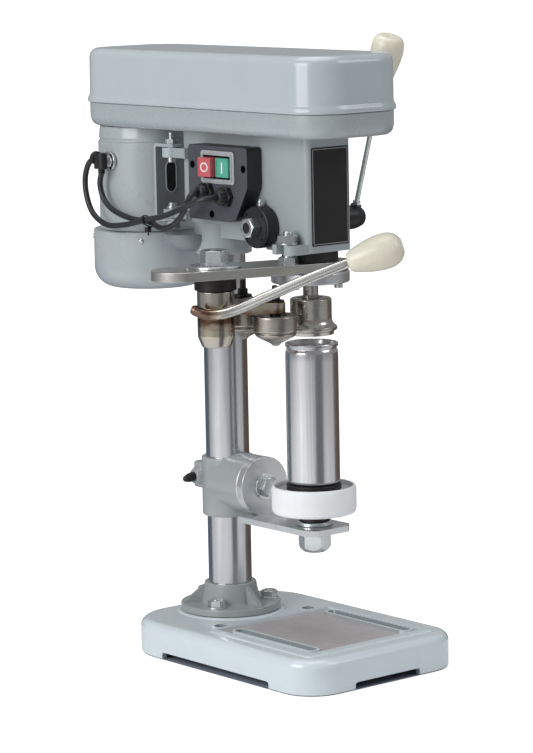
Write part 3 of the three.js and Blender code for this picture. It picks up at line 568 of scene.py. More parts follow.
def hex_head(across, z0, z1, x=0.0, y=0.0, turn=0.0, hole=0.0):
    """Hexagon with the chamfered crown of a real nut or bolt head."""
    body = prism(hexagon(across, x, y, turn), z0, z1)
    crown = turned([(0, z0), (across * 0.6, z0), (across * 0.6, z1 - across * 0.07), (across * 0.47, z1),
                    (0, z1)], x, y, 48)
    combine(body, [crown], "INTERSECT")
    bevel(body, 0.25, 2, 40)
    if hole:
        cut(body, drum(hole, z0 - 1, z1 + 1, x, y, 0, 32))
    return body


def screw_head(r, height, recess=0.45):
    """Pan head with a cross recess, standing on z = 0."""
    head = spun([(0, 0), (r, 0, 0.1), (r, height * 0.55, 0.5), (r * 0.55, height, 0.6), (0, height)], n=32)
    a, b = r * recess, r * 0.14
    for outline in ([(-a, -b), (a, -b), (a, b), (-a, b)], [(-b, -a), (b, -a), (b, a), (-b, a)]):
        cut(head, prism(outline, height * 0.45, height + 1))
    return head


# ---------------------------------------------------------------- base
def make_base():
    def outline(inset):
        return rounded_rect(inset - 97, 97 - inset, inset - 231, 54 - inset, 36 - inset, 52 - inset, 14)

    def border_outline(inset):
        return rounded_rect(inset - 80, 80 - inset, inset - 211, -60 - inset, 9 - inset)

    top, edge = 33.0, 8.5
    profile = [(1.6, 0), (0.7, 0.5), (0.3, 1.4), (0.0, top - edge)]
    profile += [(edge * (1 - math.cos(math.radians(a))), top - edge + edge * math.sin(math.radians(a)))
                for a in range(11, 91, 11)]
    base = stepped(outline, profile + [(edge + 6, top)])
    inner = rounded_rect(-91, 91, -225, 48, 30, 46, 10)
    cut(base, prism(inner, -1, 27))
    # raised border round the work area, then the milled recess inside it
    border = stepped(border_outline,
                     [(0, top - 1), (0, top - 0.1), (0.5, top + 0.5), (1.6, top + 0.9), (3, top + 1.0)])
    pad = spun([(0, top - 2), (53.5, top - 2), (53.5, top - 0.05, 1.2), (51.5, top + 1.3, 1.5),
                (0, top + 1.3)], n=96)
    fuse(base, border, pad)
    cut(base, prism(rounded_rect(-70, 70, -200, -66, 3, n=4), top - 1.2, top + 5))
    for side in (-58, 58):
        ends = ((side, -190), (side, -86))
        rim = prism(bar(*ends, 8), top - 3, top + 1.6)
        fuse(base, rim)
        cut(base, prism(bar(*ends, 5), -5, top + 6))
    for side in (-55, 55):
        cut(base, drum(6, 10, 50, side, -52, 0, 32))
    bevel(base, 0.7, 3, 40)
    wall = rounded_rect(-173, -13, -9, 7, 2.5, n=5)
    cut(base, sheet_x(wall, -110, 110))
    end = prism(rounded_rect(-40, 40, -9, 7, 2.5, n=5), -60, 240)
    end.data.transform(Matrix.Rotation(math.radians(90), 4, "X"))
    cut(base, end)
    made = stand_in("base_casting", base, BASE_PAINT)
    paint_faces(made, BARE_FLOOR,
                lambda c, n: n.z > 0.9 and abs(c.z - (top - 1.2)) < 0.25 and abs(c.x) < 70.5)
    # painted shade: the underside and the inner walls of the hollow base take the darker paint
    paint_faces(made, SHADED_MID_PAINT,
                lambda c, n: c.z < 27.3 and (n.z < -0.5 or (abs(n.z) < 0.3 and c.x * n.x
                                                            + (c.y + 88) * n.y < 0)))
    # painted shade: the walls of the two table slots take the darker paint
    paint_faces(made, SHADED_MID_PAINT,
                lambda c, n: abs(n.z) < 0.3 and 26 < c.z < top + 1.0 and -192 < c.y < -45
                and 48 < abs(c.x) < 63.4 and (abs(c.x) < 61.5 or c.y < -84))


def make_flange():
    flange = cut(drum(49, 34.8, 41.4, 0, 0, 1.6, 96, 0.6), drum(21.4, 30, 70, 0, 0, 0, 72))
    cone = cut(spun([(0, 40), (31, 40), (28.4, 43, 3), (25.2, 61.3, 1.2), (0, 61.3)], n=96, steps=5),
               drum(21.4, 30, 70, 0, 0, 0, 72))
    fuse(flange, cone)
    for angle in (30, 150, 270):
        corners = ((22, 40), (47, 40), (46.5, 42.2), (27, 58.5), (22, 58.5))
        rib = soften([(*corner, 0.8) for corner in corners], 3, closed=True)
        web = loft([[(x, y, z) for x, z in rib] for y in (-2.1, 2.1)])
        web.data.transform(Matrix.Rotation(math.radians(angle), 4, "Z"))
        fuse(flange, web)
    bevel(flange, 0.9, 3, 40)
    stand_in("column_flange", flange, CAST_PAINT)
    for i, angle in enumerate((90, 210, 330)):
        x, y = polar(38.5, angle)
        bolt = hex_head(14.5, 43.2, 49.4, x, y, 17 + 57 * i)
        join(bolt, drum(9.2, 41.3, 43.2, x, y, 0.3, 48), drum(3.4, 49.3, 50.0, x, y, 0.3, 32))
        stand_in(f"flange_bolt_{i + 1}", bolt, ZINC)
    column = cut(drum(21.2, 38, 478, 0, 0, 0.8, 128), drum(18.2, 30, 490, 0, 0, 0, 96))
    stand_in("column", column, COLUMN_STEEL)


make_base()
make_flange()


# ---------------------------------------------------------------- head casting
def make_head():
    x, y = SPINDLE
    head = prism(rounded_rect(-27, 27, -159, 28, 6, 6, 6), 416, 504.5)
    nose = prism(rounded_rect(-27, 27, -159, -94, 6, 6, 6), 397, 420)
    boss = spun([(0, 385), (27.7, 385, 1.5), (27.7, 418, 1), (0, 440)], 0, 0, 96)
    bridge = prism(rounded_rect(-20, 20, -100, -20, 3), 402, 420)
    neck = drum(26.5, 387, 400, x, y, 0.6, 96)
    ear = prism(rounded_rect(-47, -20, -157, -126, 7), 396.6, 405.6)
    bowl = spun([(0, 387), (13, 387.4, 3), (20, 391, 3), (24, 398, 2), (24, 404.5, 0.8), (0, 404.5)], -25,
                22, 72)
    fuse(head, nose, boss, bridge, neck, ear, bowl)
    for z0, z1 in ((477, 486.5), (418.5, 427)):
        fuse(head, drum(8.8, z0, z1, *LUG, 0.8, 40),
             prism([(-34, 14), (-22, 14), (-24, 41), (-34, 41)], z0, z1))
    bevel(head, 1.1, 3, 38)
    slot_cut = prism([(-60, -147.3), (-37.5, -147.3), (-37.5, -136.7), (-60, -136.7)], 390, 412)
    cut(head, slot_cut, drum(5.3, 390, 412, -37.5, -142, 0, 32), drum(21.5, 300, 482, 0, 0, 0, 64),
        drum(20.1, 300, 496, x, y, 0, 64), drum(14, 400, 600, x, y, 0, 48))
    for z in (481, 422):
        cut(head, drum(4.3, z - 12, z + 12, *LUG, 0, 24))
    made = stand_in("head_casting", head, HEAD_PAINT)
    paint_faces(made, SHADED_PAINT,
                lambda c, n: c.z < 405 and c.y > -4 and math.hypot(c.x + 25, c.y - 22) < 24.6
                and math.hypot(c.x, c.y) > 27.9)
    paint_faces(made, RUBBER, lambda c, n: c.z < 397.2 and math.hypot(c.x - x, c.y - y) < 27)
    paint_faces(made, COVER_PAINT,
                lambda c, n: c.z > 476 and c.z < 487 and math.hypot(c.x + 30, c.y - 40) < 9.2)
    # two set screws that hold the head to the column, and the plain black plate on its front
    for z in (430, 452):
        ring = cut(drum(4.6, 0, 2.2, 0, 0, 0.5, 32), prism(hexagon(4.2), 0.8, 4))
        piece(f"head_set_screw_{z}", along(ring, (26.6, 8, z), TO_X), BLACK_STEEL)
    plate = bevel(prism(rounded_rect(-22.5, 22.5, -45.5, 45.5, 1.2, n=4), 0, 0.7), 0.2, 2)
    piece("front_plate", along(plate, (0, -159.0, 449), TO_FRONT), LABEL)
    frame_line = cut(prism(rounded_rect(-21.2, 21.2, -44.2, 44.2, 1), 0.7, 0.85),
                     prism(rounded_rect(-20.7, 20.7, -43.7, 43.7, 0.8), 0, 2))
    piece("front_plate_border", along(frame_line, (0, -159.0, 449), TO_FRONT), LABEL_PALE)


make_head()


# ---------------------------------------------------------------- belt cover and drive
def cover_outline(inset):
    return rounded_rect(inset - 58, 58 - inset, inset - 208, 157 - inset, 38 - inset, 38 - inset, 18)


def make_cover():
    outside = [(9, 505), (5.6, 505.5), (2.8, 507.3), (1.0, 510.2), (0.2, 513.5), (0, 517), (0, 527.3),
               (0.5, 527.8)]
    inside = [(2.2, 527.8), (2.7, 527.3), (2.7, 515), (4.6, 511), (9, 510)]
    pan = loft([[(x, y, z) for x, y in cover_outline(i)] for i, z in outside + inside])
    cut(pan, drum(14, 400, 600, *SPINDLE, 0, 48), drum(15, 400, 600, *MOTOR, 0, 48))
    for x, y in ((-16, -60), (16, -60), (-16, 12), (16, 12)):
        join(pan, along(screw_head(4.5, 2.6), (x, y, 510), (0, 0, 1)))
    # the pan takes the cover's paint darkened: painted shade under the lid's lip
    stand_in("belt_cover_pan", pan, SHADED_MID_PAINT)
    lip = [(0.4, 528.2), (-1.5, 528.3), (-2.1, 529.1), (-2.2, 530.6), (-1.9, 532.4), (-1.2, 534.0),
           (-0.4, 535.2), (0.1, 536.6)]
    rise = [(0.4, 571)] + [(0.4 + 8.8 * (1 - math.cos(math.radians(a))),
                            571.8 + 8.8 * math.sin(math.radians(a)))
                           for a in range(10, 91, 10)] + [(17, 580.8), (30, 581)]
    under = [(30, 578.4), (16, 578), (11, 577.6), (6, 575.8), (3.6, 571.4), (2.6, 564), (2.5, 528.6),
             (1.8, 528.3)]
    rings = [[(x, y, z) for x, y in cover_outline(i)] for i, z in under + lip + rise]
    stand_in("belt_cover_lid", loft(rings), COVER_PAINT, "cover_lid")


def pulley(radii, x, y, bore):
    profile = [(bore + 0.2, 518)]
    for i, r in enumerate(radii):
        z = 518 + 9 * i
        profile += [(r - 0.4, z), (r, z + 0.4), (r, z + 1), (r - 5, z + 2.6), (r - 5, z + 6.4), (r, z + 8),
                    (r, z + 8.6), (r - 0.4, z + 9)]
    profile += [(bore + 6, 554), (bore + 5.5, 553), (bore + 0.2, 553)]
    verts = [(*polar(r, 360 * i / 96, x, y), z) for r, z in profile for i in range(96)]
    return hoop(verts, len(profile))


def make_drive():
    stand_in("spindle_pulley", pulley((46, 40, 34, 28), *SPINDLE, 8.8), ALUMINIUM, "spindle_drive")
    stand_in("motor_pulley", pulley((22, 28, 34, 40), *MOTOR, 7.3), ALUMINIUM, "motor_rotor")
    lean = math.degrees(math.asin((46 - 22) / (THROAT + MOTOR[1])))

    def loop(offset, n=48):
        turn = 180 + 2 * lean
        front = [polar(46 + offset, 180 - lean + turn * i / n, *SPINDLE) for i in range(n + 1)]
        return front + [polar(22 + offset, lean + (180 - 2 * lean) * i / n, *MOTOR) for i in range(n + 1)]

    section = [(0.6, 521.2), (0.6, 523.8), (-3.2, 523.4), (-3.2, 521.6)]
    verts = [(x, y, z) for offset, z in section for x, y in loop(offset)]
    stand_in("drive_belt", hoop(verts, len(section)), BELT)


make_cover()
make_drive()


# ---------------------------------------------------------------- motor
def make_motor():
    x, y = MOTOR
    body = spun([(7.4, 402.4), (50.8, 402.4, 0.4), (50.8, 488.6, 0.7), (49.3, 490, 0.5),
                 (49.3, 491.8, 0.5), (50.0, 492.8, 0.7), (48.8, 503.8, 0.8), (47.6, 504.5, 0.6),
                 (7.4, 504.5)], x, y, 112)
    stand_in("motor_body", body, MOTOR_PAINT)
    curve = [(57.5 - 20 + 20 * math.sin(math.radians(a)), 344.5 + 20 - 20 * math.cos(math.radians(a)))
             for a in range(0, 91, 9)]
    bell = turned([(0, 345), (30, 344.8)] + curve + [(57.5, 400.6), (57.2, 401.4), (56.4, 402), (0, 402)],
                  x, y, 112)
    for k in range(6):
        for j in range(3):
            bx, by = polar(12 + 9 * j, 60 * k, x, y)
            cut(bell, drum(1.7, 335, 348, bx, by, 0, 12))
    stand_in("motor_bell", bell, MOTOR_PAINT)
    for angle in (222, 140, 318, 42):
        px, py = polar(57.0, angle, x, y)
        out = Vector((math.cos(math.radians(angle)), math.sin(math.radians(angle)), 0))
        piece(f"bell_screw_{angle}", along(screw_head(2.5, 2.0), (px, py, 394), out), ZINC)
    # folded channel between the motor and the head's lugs
    bend = soften([(60, 415, 5), (60, 490, 5), (30, 490, 0.4), (30, 487, 0.4), (57, 487, 2.2),
                   (57, 418, 2.2), (30, 418, 0.4), (30, 415, 0.4)], 5, closed=True)
    bracket = sheet_x(bend, -36, 0)
    web = sheet_x([(57, 420), (60, 420), (60, 485), (57, 485)], -2, 20)
    fuse(bracket, web)
    cut(bracket, drum(51.1, 400, 495, x, y, 0, 96), drum(29.2, 400, 495, 0, 0, 0, 64))
    bevel(bracket, 0.4, 2, 40)
    cut(bracket, drum(4.3, 480, 495, *LUG, 0, 24), drum(4.3, 410, 422, *LUG, 0, 24))
    made = stand_in("motor_bracket", bracket, MOTOR_PAINT)
    paint_faces(made, SHADED_PAINT, lambda c, n: n.y < -0.5 and c.y > 50)
    rim = cut(prism(bar((0, -9), (0, 9), 6.6), 0, 0.9), prism(bar((0, -9), (0, 9), 5.8), -1, 2))
    piece("bracket_slot_rim", along(rim, (-17.7, 57, 456.8), TO_FRONT), MOTOR_PAINT)
    # a thin black plate in the slot: painted shade for the hole through the bracket
    piece("bracket_slot", along(prism(bar((0, -9), (0, 9), 6.2), 0, 0.35), (-17.7, 57, 456.8), TO_FRONT),
          RUBBER)
    top = join(hex_head(10, 490.3, 495, *LUG, 12), drum(3.9, 472, 492, *LUG, 0.7, 32),
               drum(2.0, 491, 501, *LUG, 0.6, 32))
    stand_in("motor_pivot_bolt_top", top, ZINC)
    low = hex_head(12.6, 408, 412.9, 0, 0, 12)
    low.data.transform(Matrix.Translation((*LUG, 820.9)) @ Matrix.Scale(-1, 4, (0, 0, 1)))
    low.data.flip_normals()
    join(low, drum(8.4, 412.9, 414.7, *LUG, 0.3), drum(3.9, 411, 433, *LUG, 0.6, 32))
    stand_in("motor_pivot_bolt_bottom", low, ZINC)
    bush = cut(drum(6.0, 427.4, 429.6, *LUG, 0.5, 40), drum(4.1, 420, 440, *LUG, 0, 24))
    piece("pivot_bush", bush, ZINC)
    # lead entry on the motor's side: bright flanged gland with a black elbow boot
    gland = spun([(3.6, 0), (9.4, 0, 0.4), (9.4, 2.6, 0.5), (6.2, 3.6, 0.5), (5.4, 8.4, 0.3), (3.6, 8.4)],
                 n=48)
    stand_in("motor_gland", along(gland, (-51.2, 110, 471), TO_LEFT), BRIGHT_STEEL, slot="zinc")
    boot = bevel(fuse(prism(rounded_rect(-67.6, -58, 103, 117.6, 4, n=6), 464.2, 479.4),
                      along(drum(6.6, 0, 5, 0, 0, 1.2, 32), (-63, 115, 474), (0, 0.8, 0.15))), 1.6, 3)
    cut(boot, along(drum(5.5, -1, 3.2, 0, 0, 0, 32), (-57, 110, 471), TO_LEFT))
    for k in range(3):
        join(boot, along(turned([(3.2, 0), (3.9 - 0.2 * k, 0.2), (3.9 - 0.2 * k, 1.4), (3.2, 1.6)], n=24),
                         (-61.5, 111, 465.2 - 2.1 * k), (0, 0.1, -1)))
    stand_in("gland_boot", boot, RUBBER)


LEAD_1 = [(-63, 118.3, 473), (-63, 121, 473), (-63.8, 128, 469), (-65, 133, 456), (-65.5, 131.5, 438),
          (-66, 121, 420.5), (-66.5, 99, 410.6), (-67, 70, 412), (-67, 34, 419.5), (-67.5, 8, 424.5),
          (-72.5, -24, 433), (-74.5, -43, 439), (-71.5, -58, 444.5), (-64.5, -64, 446), (-61, -64, 446),
          (-59.3, -64, 446)]
LEAD_2 = [(-61.5, 111, 463.7), (-61.5, 111, 461), (-60.8, 115, 450), (-60.2, 112, 437), (-60, 99, 426),
          (-60, 70, 418.5), (-60, 38, 416.5), (-60.5, 19, 412), (-60.5, 2, 415.5), (-61.5, -14, 426),
          (-64.5, -27, 439), (-65.2, -34, 447), (-62.5, -36, 449), (-59.3, -36, 449)]


def make_leads():
    stand_in("motor_lead_1", tube(LEAD_1, 2.8, 20, 8), LEAD_JACKET)
    stand_in("motor_lead_2", tube(LEAD_2, 2.8, 20, 8), LEAD_JACKET)
    a, b = (-67, 419.3), (-60, 416)
    band = cut(bevel(prism(bar(a, b, 4.6), 34.2, 37.8), 0.4, 2), prism(bar(a, b, 3.7), 30, 42))
    turn = Matrix(((1, 0, 0, 0), (0, 0, 1, 0), (0, 1, 0, 0), (0, 0, 0, 1)))
    band.data.transform(turn)
    band.data.flip_normals()
    head = bevel(prism(rounded_rect(-66, -61, 33.6, 38.4, 0.6), 407.2, 411.9), 0.5, 2)
    tail = tube([(-63.5, 36, 408), (-63.8, 35.6, 406), (-63.5, 35, 404)], 0.9, 8, 4)
    join(band, head, tail)
    stand_in("cable_tie", band, BLACK_PLASTIC)


make_motor()
make_leads()


# ---------------------------------------------------------------- switch box
SWITCH_X = -46.0


def make_switch():
    outline = soften([(-94, 455, 3), (-94, 493, 4), (-6, 493, 4), (-6, 422, 4), (-75, 422, 7)], 6,
                     closed=True)
    housing = bevel(sheet_x(outline, SWITCH_X, -27.3), 1.3, 3)
    window = sheet_x(rounded_rect(-72.3, -29.7, 461.7, 484.3, 1.5, n=4), SWITCH_X - 2, SWITCH_X + 8.8)
    cut(housing, window)
    screws = ((-13, 474), (-89, 473), (-41, 428))
    for y, z in screws:
        cut(housing, along(drum(3.7, 0, 9, 0, 0, 0, 32), (SWITCH_X - 1, y, z), TO_X))
    made = stand_in("switch_box", housing, BLACK_PLASTIC)
    paint_faces(made, SWITCH_FACE, lambda c, n: n.x < -0.6 and c.x < SWITCH_X + 1.4)
    for i, (y, z) in enumerate(screws):
        piece(f"switch_screw_{i + 1}", along(screw_head(2.9, 1.8, 0.6), (SWITCH_X + 7.6, y, z), TO_LEFT),
              BLACK_STEEL)
    # clear splash frame round the buttons
    frame_outline = rounded_rect(-76.5, -27.5, 457.5, 488.5, 3, n=6)
    cover = bevel(sheet_x(frame_outline, SWITCH_X - 1.5, SWITCH_X - 0.15), 0.5, 2)
    cut(cover, sheet_x(rounded_rect(-72.2, -29.8, 462, 484, 1.5, n=4), SWITCH_X - 4, SWITCH_X + 2))
    ridge = cut(sheet_x(rounded_rect(-74, -30, 460, 486, 2, n=4), SWITCH_X - 2.6, SWITCH_X - 1.4),
                sheet_x(rounded_rect(-72.6, -31.4, 461.4, 484.6, 1.4, n=4), SWITCH_X - 5, SWITCH_X + 2))
    join(cover, bevel(ridge, 0.3, 2))
    piece("switch_clear_frame", cover, CLEAR)
    for name, y, out, material in (("stop_button", -40.5, 8.4, RED_PLASTIC),
                                   ("start_button", -61.5, 3.9, GREEN_PLASTIC)):
        outline = rounded_rect(y - 9.3, y + 9.3, 463.9, 482.1, 1.2, n=4)
        button = bevel(sheet_x(outline, SWITCH_X - out, SWITCH_X + 4), 0.7, 3)
        cut(button, sheet_x(rounded_rect(y - 7.6, y + 7.6, 465.6, 480.4, 1, n=4), SWITCH_X - out - 1,
                            SWITCH_X - out + 0.5))
        stand_in(name, button, material, name)
        face = SWITCH_X - out + 0.5
        if name == "stop_button":
            mark = cut(turned([(0, 0), (5.6, 0), (5.6, 0.3), (0, 0.3)], n=48), drum(4.2, -1, 2, 0, 0, 0, 48))
            mark.data.transform(Matrix.Diagonal((1.0, 0.8, 1.0, 1.0)))
        else:
            mark = prism(rounded_rect(-0.75, 0.75, -5.2, 5.2, 0.3, n=3), 0, 0.3)
        piece(name + "_symbol", along(mark, (face + 0.02, y, 473), TO_LEFT), SYMBOL, name)
    for i, (y, z) in enumerate(((-36, 449), (-64, 446))):
        gland = hex_head(17.6, 0.3, 5.6, 0, 0, 0)
        dome = spun([(0, 5.4), (8.6, 5.4, 0.3), (8.2, 8.4, 1.5), (5.4, 12.8, 1.2), (0, 12.8)], n=40)
        join(gland, dome)
        for k in range(12):
            slit = prism(bar((7.0, 0), (9.0, 0), 0.35, 4), 6.5, 12)
            slit.data.transform(Matrix.Rotation(math.radians(30 * k), 4, "Z"))
            cut(gland, slit)
        stand_in(f"cable_gland_{i + 1}", along(gland, (SWITCH_X, y, z), TO_LEFT), BLACK_PLASTIC)


make_switch()


# ---------------------------------------------------------------- feed lever and spring cap
FEED_Y, FEED_Z, LEVER_X = -98.0, 419.0, 82.0


def make_feed():
    cap = spun([(7.3, 0), (19, 0), (20, 1, 0.6), (20, 12.6, 0.8), (18.8, 13.8, 0.8), (7.3, 13.8)], n=80)
    cut(cap, *[along(drum(1.1, -1, 3, 0, 0, 0, 12), (*polar(15.5, 45 + 90 * k), 12.4), (0, 0, 1))
               for k in range(4)])
    cap = along(cap, (-27.3, FEED_Y, FEED_Z), TO_LEFT)
    groove = cut(turned([(0, 13), (18.2, 13), (18.2, 14.3), (0, 14.3)], n=80),
                 drum(16.8, 12, 16, 0, 0, 0, 80))
    join(cap, along(groove, (-27.3, FEED_Y, FEED_Z), TO_LEFT))
    stand_in("return_spring_cap", cap, BLACK_PLASTIC)
    stop = join(drum(2.5, FEED_Z + 18, FEED_Z + 24.6, -33.5, FEED_Y, 0.6, 24),
                drum(1.1, FEED_Z + 24, FEED_Z + 26, -33.5, FEED_Y, 0.4, 16))
    piece("spring_cap_pin", stop, ZINC)
    nut = along(hex_head(17.5, 0, 10, 0, 0, 8, 7.3), (-41.4, FEED_Y, FEED_Z), TO_LEFT)
    face = cut(drum(7.6, 8.9, 9.8, 0, 0, 0.2, 48), drum(5.2, 8, 11, 0, 0, 0, 32))
    join(nut, along(face, (-41.4, FEED_Y, FEED_Z), TO_LEFT))
    stand_in("spring_cap_nut", nut, ZINC)
    shaft = along(drum(6.9, 0, 119, 0, 0, 0.8, 40), (-49.5, FEED_Y, FEED_Z), TO_X)
    # a thin black disc on the shaft's end: painted shade standing for the hollow in it
    piece("feed_shaft_recess_shade", along(drum(5.6, 0, 0.3, 0, 0, 0, 32), (-50.0, FEED_Y, FEED_Z), TO_X),
          RUBBER, "feed_lever")
    flank = ((10.6, -8), (14.2, -3.6), (14.2, 3.6), (10.6, 8))
    teeth = [polar(r, 180 + 30 * k + a) for k in range(12) for r, a in flank]
    join(shaft, along(prism(teeth, -15, 15), (0, FEED_Y, FEED_Z), TO_X))
    stand_in("feed_pinion_shaft", shaft, BRIGHT_STEEL, "feed_lever")
    hub = spun([(0, 27.4), (10.8, 27.4, 0.5), (11.5, 28.4, 0.5), (11.5, 52, 1), (10.4, 53.5, 1),
                (10.4, 57.5, 1), (11.5, 59, 1), (11.5, 81.5, 3.0), (8.6, 91, 2.4), (0, 92.5)], n=72)
    hub = along(hub, (0, FEED_Y, FEED_Z), TO_X)
    lean = math.radians(17.7)
    up = Vector((0, -math.sin(lean), math.cos(lean)))
    seat = Vector((LEVER_X, FEED_Y, FEED_Z))
    fuse(hub, along(drum(5.4, 6, 13, 0, 0, 1.0, 40), seat, up))
    cut(hub, along(drum(2.7, 9, 30, 0, 0, 0, 32), seat, up))
    stand_in("feed_hub", bevel(hub, 0.5, 2, 40), BLACK_PLASTIC, "feed_lever")
    rod = along(spun([(0, 8), (2.4, 8), (2.4, 156, 0.4), (0, 152)], n=40), seat, up)
    collar = along(turned([(2.3, 13.2), (4.0, 13.5), (4.0, 16.4), (2.3, 16.8)], n=6), seat, up)
    stand_in("feed_rod", join(rod, collar), ZINC, "feed_lever")
    grip = [(0, 126.4), (6.0, 126.6, 0.6), (7.2, 128, 1), (8.2, 132, 4), (10.7, 141.5, 8),
            (14.2, 156.5, 8), (15.8, 168.1, 6), (14.9, 176.5, 4), (12.6, 181, 1.8), (10.4, 182.5, 1.0),
            (2.6, 182.5, 0.4), (2.2, 181.5, 0.4), (0, 181.3)]
    stand_in("feed_handle", along(spun(grip, n=80, steps=6), seat, up), IVORY, "feed_lever")


make_feed()


# ---------------------------------------------------------------- quill, spindle and chuck
def make_spindle():
    x, y = SPINDLE
    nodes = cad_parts
    for name in ("quill", "motor_shaft"):
        nodes[name].data.materials.clear()
        nodes[name].data.materials.append(BRIGHT_STEEL)
    shaft = spun([(0, 340), (8.4, 340), (8.4, 352), (8.4, 353.6, 0.4), (7.2, 354.4, 0.4),
                  (7.2, 364.6, 0.4), (8.4, 365.4, 0.4), (8.4, 556, 0.6), (0, 556)], x, y, 64)
    stand_in("spindle", shaft, CHUCK_STEEL, "spindle")
    chuck = spun([(0, 319.6), (15, 319.6, 0.4), (16, 317.3, 0.3), (16.6, 318.2, 0.4), (21.2, 317.3, 0.5),
                  (21.6, 320.7, 0.3), (24.0, 321.6, 0.3), (24.6, 322.4, 0.4), (24.6, 324.8, 0.4),
                  (23.6, 325.6, 0.5), (20.8, 328.2, 1.6), (19.6, 331.6, 1.6), (19.6, 351, 0.6),
                  (18.4, 352, 0.6), (12.8, 352, 0.2), (12.8, 351.2, 0.2), (0, 351.2)], x, y, 112, steps=5)
    for angle in (200, 20):
        cut(chuck, along(drum(2.6, 0, 6, 0, 0, 0, 24), (*polar(22, angle, x, y), 340),
                         (-math.cos(math.radians(angle)), -math.sin(math.radians(angle)), 0)))
    stand_in("seaming_chuck", chuck, CHUCK_STEEL, "spindle")


make_spindle()


# ---------------------------------------------------------------- seaming plate
def make_plate():
    ahead = Vector((-PIVOT[0], -THROAT - PIVOT[1])).normalized()
    pivot = Vector(PIVOT)
    left, right, hole = pivot - ahead * 36, Vector(SPINDLE) + ahead * 11, pivot - ahead * 30
    plate = bevel(prism(bar(tuple(left), tuple(right), 26, 40), 377.6, 386.6), 0.7, 3)
    cut(plate, drum(20.2, 300, 420, *SPINDLE, 0, 64), drum(8.4, 300, 420, *PIVOT, 0, 48),
        drum(3.4, 370, 400, hole.x, hole.y, 0, 32), drum(4.4, 385.8, 400, hole.x, hole.y, 0, 32))
    stand_in("seaming_plate", plate, PLATE_STEEL)
    x, y = STUD
    stud = spun([(0, 386.9), (4.5, 386.9), (4.5, 417.4, 0.5), (3.6, 418.3, 0.4), (0, 418.3)], x, y, 32)
    for z in (396.5, 398.5, 400.5, 402.5, 404.5, 415.6, 417):
        join(stud, turned([(4.2, z - 0.6), (4.8, z), (4.2, z + 0.6)], x, y, 32))
    stand_in("plate_stud", stud, ZINC)
    upper = join(hex_head(16.8, 407.3, 415, x, y, 28, 4.9),
                 cut(drum(9.2, 405.9, 407.3, x, y, 0.3, 48), drum(5, 400, 410, x, y, 0, 32)))
    stand_in("stud_nut_upper", upper, ZINC)
    stand_in("stud_nut_lower", hex_head(16.8, 386.9, 394.5, x, y, 28, 4.9), ZINC)
    flange = cut(spun([(0, 366.9), (36, 366.9, 0.4), (37, 368, 0.4), (37, 376.6, 0.4), (36.4, 377.3, 0.3),
                       (0, 377.3)], *SPINDLE, 112), drum(20.2, 300, 420, *SPINDLE, 0, 64))
    stand_in("bearing_flange", flange, ALUMINIUM)
    for k, angle in enumerate((20, 110, 200, 290)):
        px, py = polar(30, angle, *SPINDLE)
        screw = cut(drum(4.0, 362.4, 366.9, px, py, 0.5, 32), prism(hexagon(4.2, px, py), 360, 364.6))
        piece(f"bearing_screw_{k + 1}", screw, ZINC)


make_plate()


# ---------------------------------------------------------------- seaming lever and rollers
LEVER = [(-123, -109, 350), (-117, -117, 346.5), (-107, -124, 346), (-95, -131.5, 349), (-69, -153, 362.5),
         (-48, -170.5, 374), (-14.5, -198.5, 391)]
ROLLERS = [polar(54.8, -39.4, *PIVOT), polar(54.8, 23.5, *PIVOT)]


